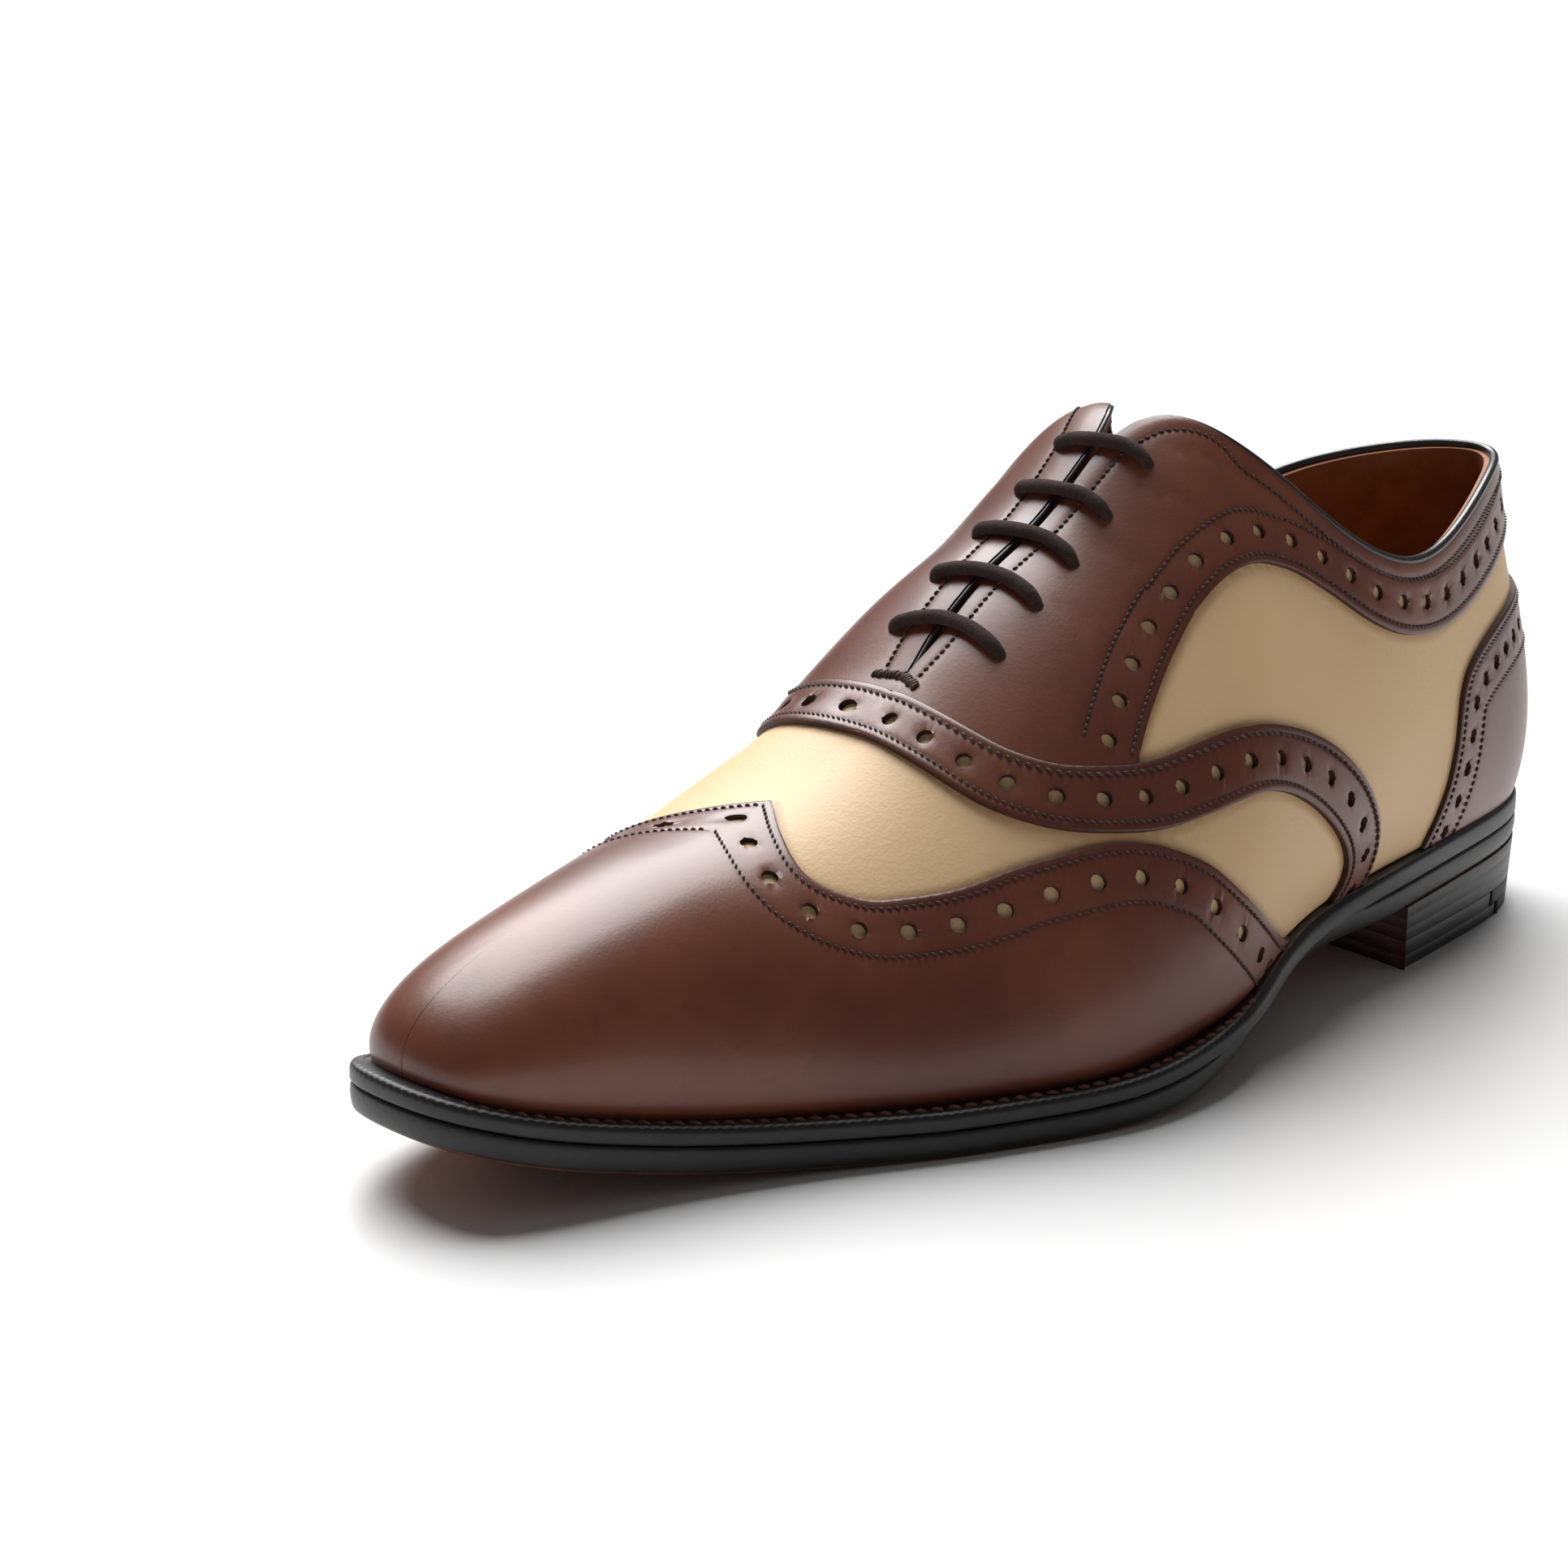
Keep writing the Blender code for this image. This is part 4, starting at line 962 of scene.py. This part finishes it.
def tonguePiece():
    depth = -(shoe["wall"] + tongue["below"])
    rows = np.arange(crestRow + 0.05, throatRow + 0.9, 0.1)
    shares = np.linspace(0.72, 1.0, 12)
    points = []
    for lift in (depth, depth - tongue["thickness"]):
        for t in rows:
            points += [*lifted(t, shares, lift), *lifted(period - t, shares, lift)[::-1]]
    made = meshObject("tongue_leather", points, shellFaces(len(rows), 24, False), [tongueLeather])
    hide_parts("tongue")


tonguePiece()


# Binding: a rolled black edge up the slit and a thicker bead round the collar
binding = {"slit": 0.55 * mm, "collar": 1.0 * mm, "lift": 0.35 * mm}


def bindingPiece():
    last = slitEnd - 0.06
    rows = np.concatenate([np.arange(-last, -crestRow, 0.04), np.arange(-crestRow, crestRow, 0.05)])
    rows = np.concatenate([rows, np.arange(crestRow, last + 0.01, 0.04)])
    normal = skinNormal(rows, 0.995)
    up = unit(skin(rows, 1.0) - skin(rows, 0.99))
    radius = binding["slit"] + (binding["collar"] - binding["slit"]) * (1 - smooth(4.6, 6.6, np.abs(rows)))
    rim = topLine(rows) + normal * (0.1 * mm) + up * binding["lift"]
    made = sweep("collar_binding", rim, radius, bindingLeather, 12)
    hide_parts("topline_binding")


bindingPiece()


tack = {"length": 2.6 * mm, "stitches": 17, "halfWidth": 0.056, "radius": 0.36 * mm, "raised": 0.25 * mm}


def barTack():
    # close stitches side by side across the lower end of the slit
    height = panels["thickness"] + tack["raised"]
    rows = []
    for u in np.linspace(-1, 1, tack["stitches"]):
        t = slitEnd + np.linspace(-0.10, 0.06, 5) + random.uniform(-0.01, 0.01)
        share = 1 - tack["halfWidth"] * abs(u)
        t = t if u > 0 else period - t
        rows.append((lifted(t, share, height), skinNormal(t, share), tack["length"], tack["radius"]))
    made = stitchMesh("bar_tack", rows, threadCotton)


barTack()


def strapPanel():
    share = np.linspace(1.0, 0.645, 40)
    middle = np.column_stack([np.zeros(40), share])
    alongT = directions(middle[:, 0], middle[:, 1])[0]
    wide = 0.5 * panels["strapWidth"] / np.linalg.norm(alongT, axis=1)
    edgeLine = np.column_stack([wide, share])
    seam = np.column_stack([wide * 0.62, share])
    pattern = {
        "outline": np.concatenate([edgeLine, middle[::-1][:-1]]),
        "edges": [edgeLine],
        "seams": [seam],
        "lines": [np.column_stack([wide * k, share]) for k in (0.94, 0.85, 0.7, 0.54)] + [seam],
        "holes": [],
        "spacing": 1.0,
    }
    height = panels["thickness"] + panels["strapRaised"]
    made = layPanel("back_strap_leather", pattern, [brownLeather, cutLeather], height)
    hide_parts("back_strap")
    return seam


strapSeam = strapPanel()
rows = seamRows([strapSeam[2:-2]], panels["thickness"] + panels["strapRaised"])
stitchMesh("strap_stitches", rows, threadCotton)


# The sock lining, cupped a little at its edge, on the insole board
sock = {
    "clear": 0.8 * mm,
    "above": 0.6 * mm,
    "thickness": 2.7 * mm,
    "sunk": 0.1 * mm,
    "cup": 0.9 * mm,
    "cupShare": 0.14,
}


def sockPiece():
    t = np.arange(0, toeRow + 0.01, 0.2)
    sides = []
    for rows in (t, period - t):
        inset = closedSpline(handleKnots, rows)[:, 0:1] * shoe["weltReach"] + shoe["wall"] + sock["clear"]
        sides.append(soleEdge(rows) - outwards(rows) * inset)
    outer, inner = sides
    inner[0], inner[-1] = outer[0], outer[-1]
    across = np.linspace(0, 1, 25)
    top, under = [], []
    for a, b in zip(outer, inner):
        for u in across:
            spot = a + (b - a) * u
            height = weltTop(spot[0] / shoe["length"]) + shoe["wall"] + sock["above"]
            cup = sock["cup"] * (1 - smooth(0, sock["cupShare"], min(u, 1 - u)))
            top.append((*spot, height + sock["thickness"] + cup))
            under.append((*spot, height - sock["sunk"]))
    faces = shellFaces(len(t), len(across), True)
    made = meshObject("sock_lining", np.array(top + under), faces, [liningLeather], sharp=60)
    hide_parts("insole")


sockPiece()
print("lace, tongue and binding made")


# Sole and welt: profiles swept round the sole's edge
edge = {"step": 0.025, "wheelPitch": 1.9 * mm, "wheelDepth": 0.18 * mm}


def bevel(x):
    return 0.4 * mm + shoe["waistBevel"] * smooth(0.24, 0.36, x) * (1 - smooth(0.44, 0.56, x))


def sweptProfile(name, profile, materials, kinds, under=False):
    t = np.arange(0, period, edge["step"])
    spot, normal = soleEdge(t), outwards(t)
    x = spot[:, 0] / shoe["length"]
    rings = []
    for offset, height in profile(x, t):
        flatSpot = spot + normal * np.broadcast_to(offset, len(t))[:, None]
        rings.append(np.column_stack([flatSpot, np.broadcast_to(height, len(t))]))
    count = len(t)
    faces = ringFaces(count, len(rings))
    faceKinds = [kind for kind in kinds[:len(rings) - 1] for i in range(count)]
    points = list(np.concatenate(rings))
    if under:
        last = rings[-1]
        half = count // 2
        across = 12
        first = len(points)
        for i in range(half + 1):
            a, b = last[i], last[(count - i) % count]
            for u in np.linspace(0, 1, across + 1):
                p = a + (b - a) * u
                p[2] = soleBottom(p[0] / shoe["length"])
                points.append(p)
        for i in range(half):
            for j in range(across):
                a = first + i * (across + 1) + j
                faces.append((a, a + across + 1, a + across + 2, a + 1)[::-1])
                faceKinds.append(kinds[-1])
    return meshObject(name, points, faces, materials, faceKinds, sharp=50)


def weltProfile(x, t):
    top, base = weltTop(x), soleTop(x)
    run = runAlong(soleEdge(t))
    forepart = smooth(0.44, 0.5, x)
    notch = edge["wheelDepth"] * forepart * np.maximum(np.cos(2 * math.pi * run / edge["wheelPitch"]), -0.2)
    drawn = bevel(x) * 0.35
    return [
        (-9 * mm, top - 0.3 * mm),
        (-3.0 * mm - drawn, top),
        (-1.3 * mm - drawn, top),
        (-0.75 * mm - drawn, top - notch * 0.8),
        (-0.35 * mm - drawn, top - 0.25 * mm - notch),
        (-0.05 * mm - drawn * 0.8, top - 0.8 * mm - notch * 0.5),
        (0.0 * mm - drawn * 0.6, top - 1.4 * mm),
        (0.0 * mm - drawn * 0.4, base + 0.7 * mm),
        (-0.15 * mm - drawn * 0.3, base + 0.35 * mm),
        (-0.6 * mm - drawn * 0.3, base + 0.15 * mm),
        (-3 * mm, base + 0.12 * mm),
    ]


def solePart(x, _):
    top, base = soleTop(x), soleBottom(x)
    drawn = bevel(x)
    tall = top - base
    return [
        (-3 * mm, top + 0.08 * mm),
        (-0.6 * mm - drawn * 0.3, top + 0.05 * mm),
        (-0.2 * mm - drawn * 0.32, top - 0.15 * mm),
        (0.0 * mm - drawn * 0.38, top - 0.6 * mm),
        (0.1 * mm - drawn * 0.45, top - tall * 0.35),
        (0.1 * mm - drawn * 0.58, top - tall * 0.55),
        (-0.05 * mm - drawn * 0.78, base + 0.9 * mm),
        (-0.2 * mm - drawn * 0.92, base + 0.4 * mm),
        (-0.6 * mm - drawn, base + 0.02 * mm),
        (-1.4 * mm - drawn, base),
    ]


# the fourth band of the welt's profile, its rounded top outer edge, takes the grey painted highlight
weltPiece = sweptProfile("welt_leather", weltProfile, [edgeWax, weltEdgeHighlight], [0] * 3 + [1] + [0] * 6)
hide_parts("welt")
soleKinds = [0] * 7 + [1] * 2
solePiece = sweptProfile("outsole_leather", solePart, [edgeWax, soleLeather], soleKinds, under=True)
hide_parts("outsole")


# The row of the fan where the welt's stitches begin, and their sizes in mm
weltSeam = {"row": 6.9, "setIn": 2.3, "raised": 0.08, "pitch": 3.2, "radius": 0.5}


def weltStitches():
    t = np.arange(weltSeam["row"], period - weltSeam["row"], 0.02)
    spot = soleEdge(t) - outwards(t) * weltSeam["setIn"] * mm
    line = np.column_stack([spot, weltTop(spot[:, 0] / shoe["length"]) + weltSeam["raised"] * mm])
    up = np.tile((0.0, 0.0, 1.0), (len(t), 1))
    rows = [(line, up, weltSeam["pitch"] * mm, weltSeam["radius"] * mm)]
    made = stitchMesh("welt_stitches", rows, weltThread)


weltStitches()
print("sole and welt made")


# Heel: stacked lifts, a rubber corner with a slanting joint, and a hollowed breast
heel = {
    "setIn": 0.25 * mm,
    "liftLine": 0.06 * mm,
    "rubber": 19 * mm,
    "slant": 13 * mm,
    "step": 3.5 * mm,
}


def heelOutline():
    rows = np.arange(-4.5, 4.51, 0.02)
    side = soleEdge(rows) - outwards(rows) * heel["setIn"]
    side = side[side[:, 0] < shoe["heelLength"]]
    right, left = side[0], side[-1]
    across = np.linspace(left[1], right[1], 40)[1:-1]
    bow = 1 - ((across - across.mean()) / (left[1] - across.mean())) ** 2
    breast = np.column_stack([shoe["heelLength"] - shoe["breastHollow"] * bow, across])
    return np.concatenate([side, breast])


def behindJoint(outline, sign, ahead):
    # the part of the outline behind (-1) or before (+1) the joint of the rubber
    def side(p):
        return sign * (p[0] - heel["rubber"] - ahead - heel["slant"] * p[1] / shoe["heelWidth"]) - 0.03 * mm
    kept = []
    for p, q in zip(outline, np.roll(outline, -1, 0)):
        a, b = side(p), side(q)
        if a > 0:
            kept.append(p)
        if a * b < 0:
            kept.append(p + (q - p) * a / (a - b))
    return np.array(kept)


def heelLayer(name, outline, levels, materials):
    # levels: (how far drawn in, height as a function of x); breast faces get their own leather
    ahead, behind = np.roll(outline, -1, 0), np.roll(outline, 1, 0)
    along = (ahead - outline) / (np.linalg.norm(ahead - outline, axis=1, keepdims=True) + 1e-9)
    along += (outline - behind) / (np.linalg.norm(outline - behind, axis=1, keepdims=True) + 1e-9)
    normal = unit(np.stack([along[:, 1], -along[:, 0]], -1))
    if np.sum((outline - outline.mean(0)) * normal) < 0:
        normal = -normal
    count = len(outline)
    isBreast = outline[:, 0] > shoe["heelLength"] - shoe["breastHollow"] - 0.1 * mm
    isBreast &= np.abs(normal[:, 0]) > 0.6
    rings = []
    for inward, height in levels:
        z = np.broadcast_to(height(outline[:, 0] / shoe["length"]), count)
        share = 1 - np.clip(z / shoe["heelHeight"], 0, 1)
        taper = shoe["heelTaper"] * share * np.where(isBreast, 0.2, 1)
        rings.append(np.column_stack([outline - normal * (taper + inward)[:, None], z]))
    faces = [face[::-1] for face in ringFaces(count, len(rings))]
    kinds = [int(isBreast[i] and isBreast[(i + 1) % count]) for i in range(count)] * (len(rings) - 1)
    faces.append(tuple((len(rings) - 1) * count + i for i in range(count)))
    faces.append(tuple(range(count))[::-1])
    kinds += [2, 2]
    return meshObject(name, np.concatenate(rings), faces, materials, kinds, sharp=40)


def heelPieces():
    outline = heelOutline()
    leathers = [edgeWax, breastLeather, soleLeather]
    base = shoe["topPiece"]

    def between(share, moved):
        return lambda x: base + (soleBottom(x) - base) * share + moved

    # (drawn in, share of the way up, moved up), each in mm but for the share
    turns = [(0.5, 1, -0.02), (0.1, 1, -0.15), (0, 1, -0.5)]
    for share in (0.66, 0.33):
        turns += [(0, share, 0.2), (heel["liftLine"] / mm, share, 0), (0, share, -0.2)]
    turns += [(0, 0, 0.15), (0.05, 0, 0.05), (0.3, 0, 0.02)]
    levels = [(inward * mm, between(share, moved * mm)) for inward, share, moved in turns]
    stack = heelLayer("heel_stack_leather", outline, levels, leathers)
    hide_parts("heel_stack")

    def slab(name, part, low, high, materials):
        turns = [(0.2, high - 0.01 * mm), (0.05, high - 0.03 * mm), (0, high - 0.12 * mm)]
        turns += [(0, low + 0.12 * mm), (0.05, low + 0.03 * mm), (0.2, low)]
        levels = [(inward * mm, lambda x, z=z: z + 0 * x) for inward, z in turns]
        return heelLayer(name, part, levels, materials)

    step = base * 0.45
    pieces = []
    corner, top = (-1, "heel_rubber_corner", [heelRubber] * 3), (1, "top_piece_leather", leathers)
    for sign, name, materials in (corner, top):
        low = slab(name, behindJoint(outline, sign, 0), 0.0, step, materials)
        high = slab(name + "_upper", behindJoint(outline, sign, heel["step"]), step, base, materials)
        pieces.append((low, high))
    for (low, high), node, slot in zip(pieces, ("heel_rubber", "top_piece"), ("heel_rubber", "sole_leather")):
        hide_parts(node)


heelPieces()
print("heel made")

# Camera, as worked out from the photograph: place in the shoe's own frame, angles in degrees
photo = {
    "place": (642.1 * mm, 463.4 * mm, 225.9 * mm),
    "turn": -42.91,
    "pitch": 14.93,
    "roll": 0.56,
    "lens": 84.3,
}


def addCamera():
    data = bpy.data.cameras.new("camera")
    data.lens = photo["lens"]
    data.sensor_width = 36
    data.clip_end = 20
    made = bpy.data.objects.new("camera", data)
    made.location = toRow(np.array([photo["place"]]))[0]
    turn, pitch = math.radians(photo["turn"]), math.radians(photo["pitch"])
    look = Vector((-math.sin(turn) * math.cos(pitch), math.cos(turn) * math.cos(pitch), -math.sin(pitch)))
    made.rotation_mode = "QUATERNION"
    roll = Quaternion((0, 0, 1), math.radians(photo["roll"]))
    made.rotation_quaternion = look.to_track_quat("-Z", "Y") @ roll
    bpy.context.scene.collection.objects.link(made)
    bpy.context.scene.camera = made


# A dim room with a bright ceiling, and one broad soft light from above and behind
light = {
    "sideRoom": 1.8,
    "ceiling": 2.3,
    "dimBelow": 0.25,
    "brightAbove": 0.8,
    "softLight": 5.0,
    "spread": 55,
    "from": (0.35, 0.62, 0.95),
}


def addSoftLight():
    data = bpy.data.lights.new("soft_light", "SUN")
    data.energy = light["softLight"]
    data.angle = math.radians(light["spread"])
    made = bpy.data.objects.new("soft_light", data)
    made.rotation_euler = Vector(light["from"]).to_track_quat("Z", "Y").to_euler()
    bpy.context.scene.collection.objects.link(made)


def addStage():
    shape = bmesh.new()
    bmesh.ops.create_grid(shape, x_segments=1, y_segments=1, size=6)
    mesh = bpy.data.meshes.new("floor")
    shape.to_mesh(mesh)
    shape.free()
    floor = bpy.data.objects.new("floor", mesh)
    made, tree, shader = newMaterial("white_floor")
    setInputs(tree, shader, {"Base Color": (0.9, 0.9, 0.9, 1), "Roughness": 0.35})
    mesh.materials.append(made)
    bpy.context.scene.collection.objects.link(floor)
    world = bpy.data.worlds.new("studio")
    world.use_nodes = True
    tree = world.node_tree
    back = tree.nodes["Background"]
    way = addNode(tree, "SeparateXYZ", {0: addNode(tree, "TexCoord").outputs["Generated"]})
    strength = ramp(tree, way.outputs[2], light["dimBelow"], light["brightAbove"],
                    light["sideRoom"], light["ceiling"])
    tree.links.new(strength, back.inputs[1])
    bpy.context.scene.world = world


addCamera()
addStage()
addSoftLight()
bpy.context.scene.view_settings.view_transform = "Standard"

print("scene made")
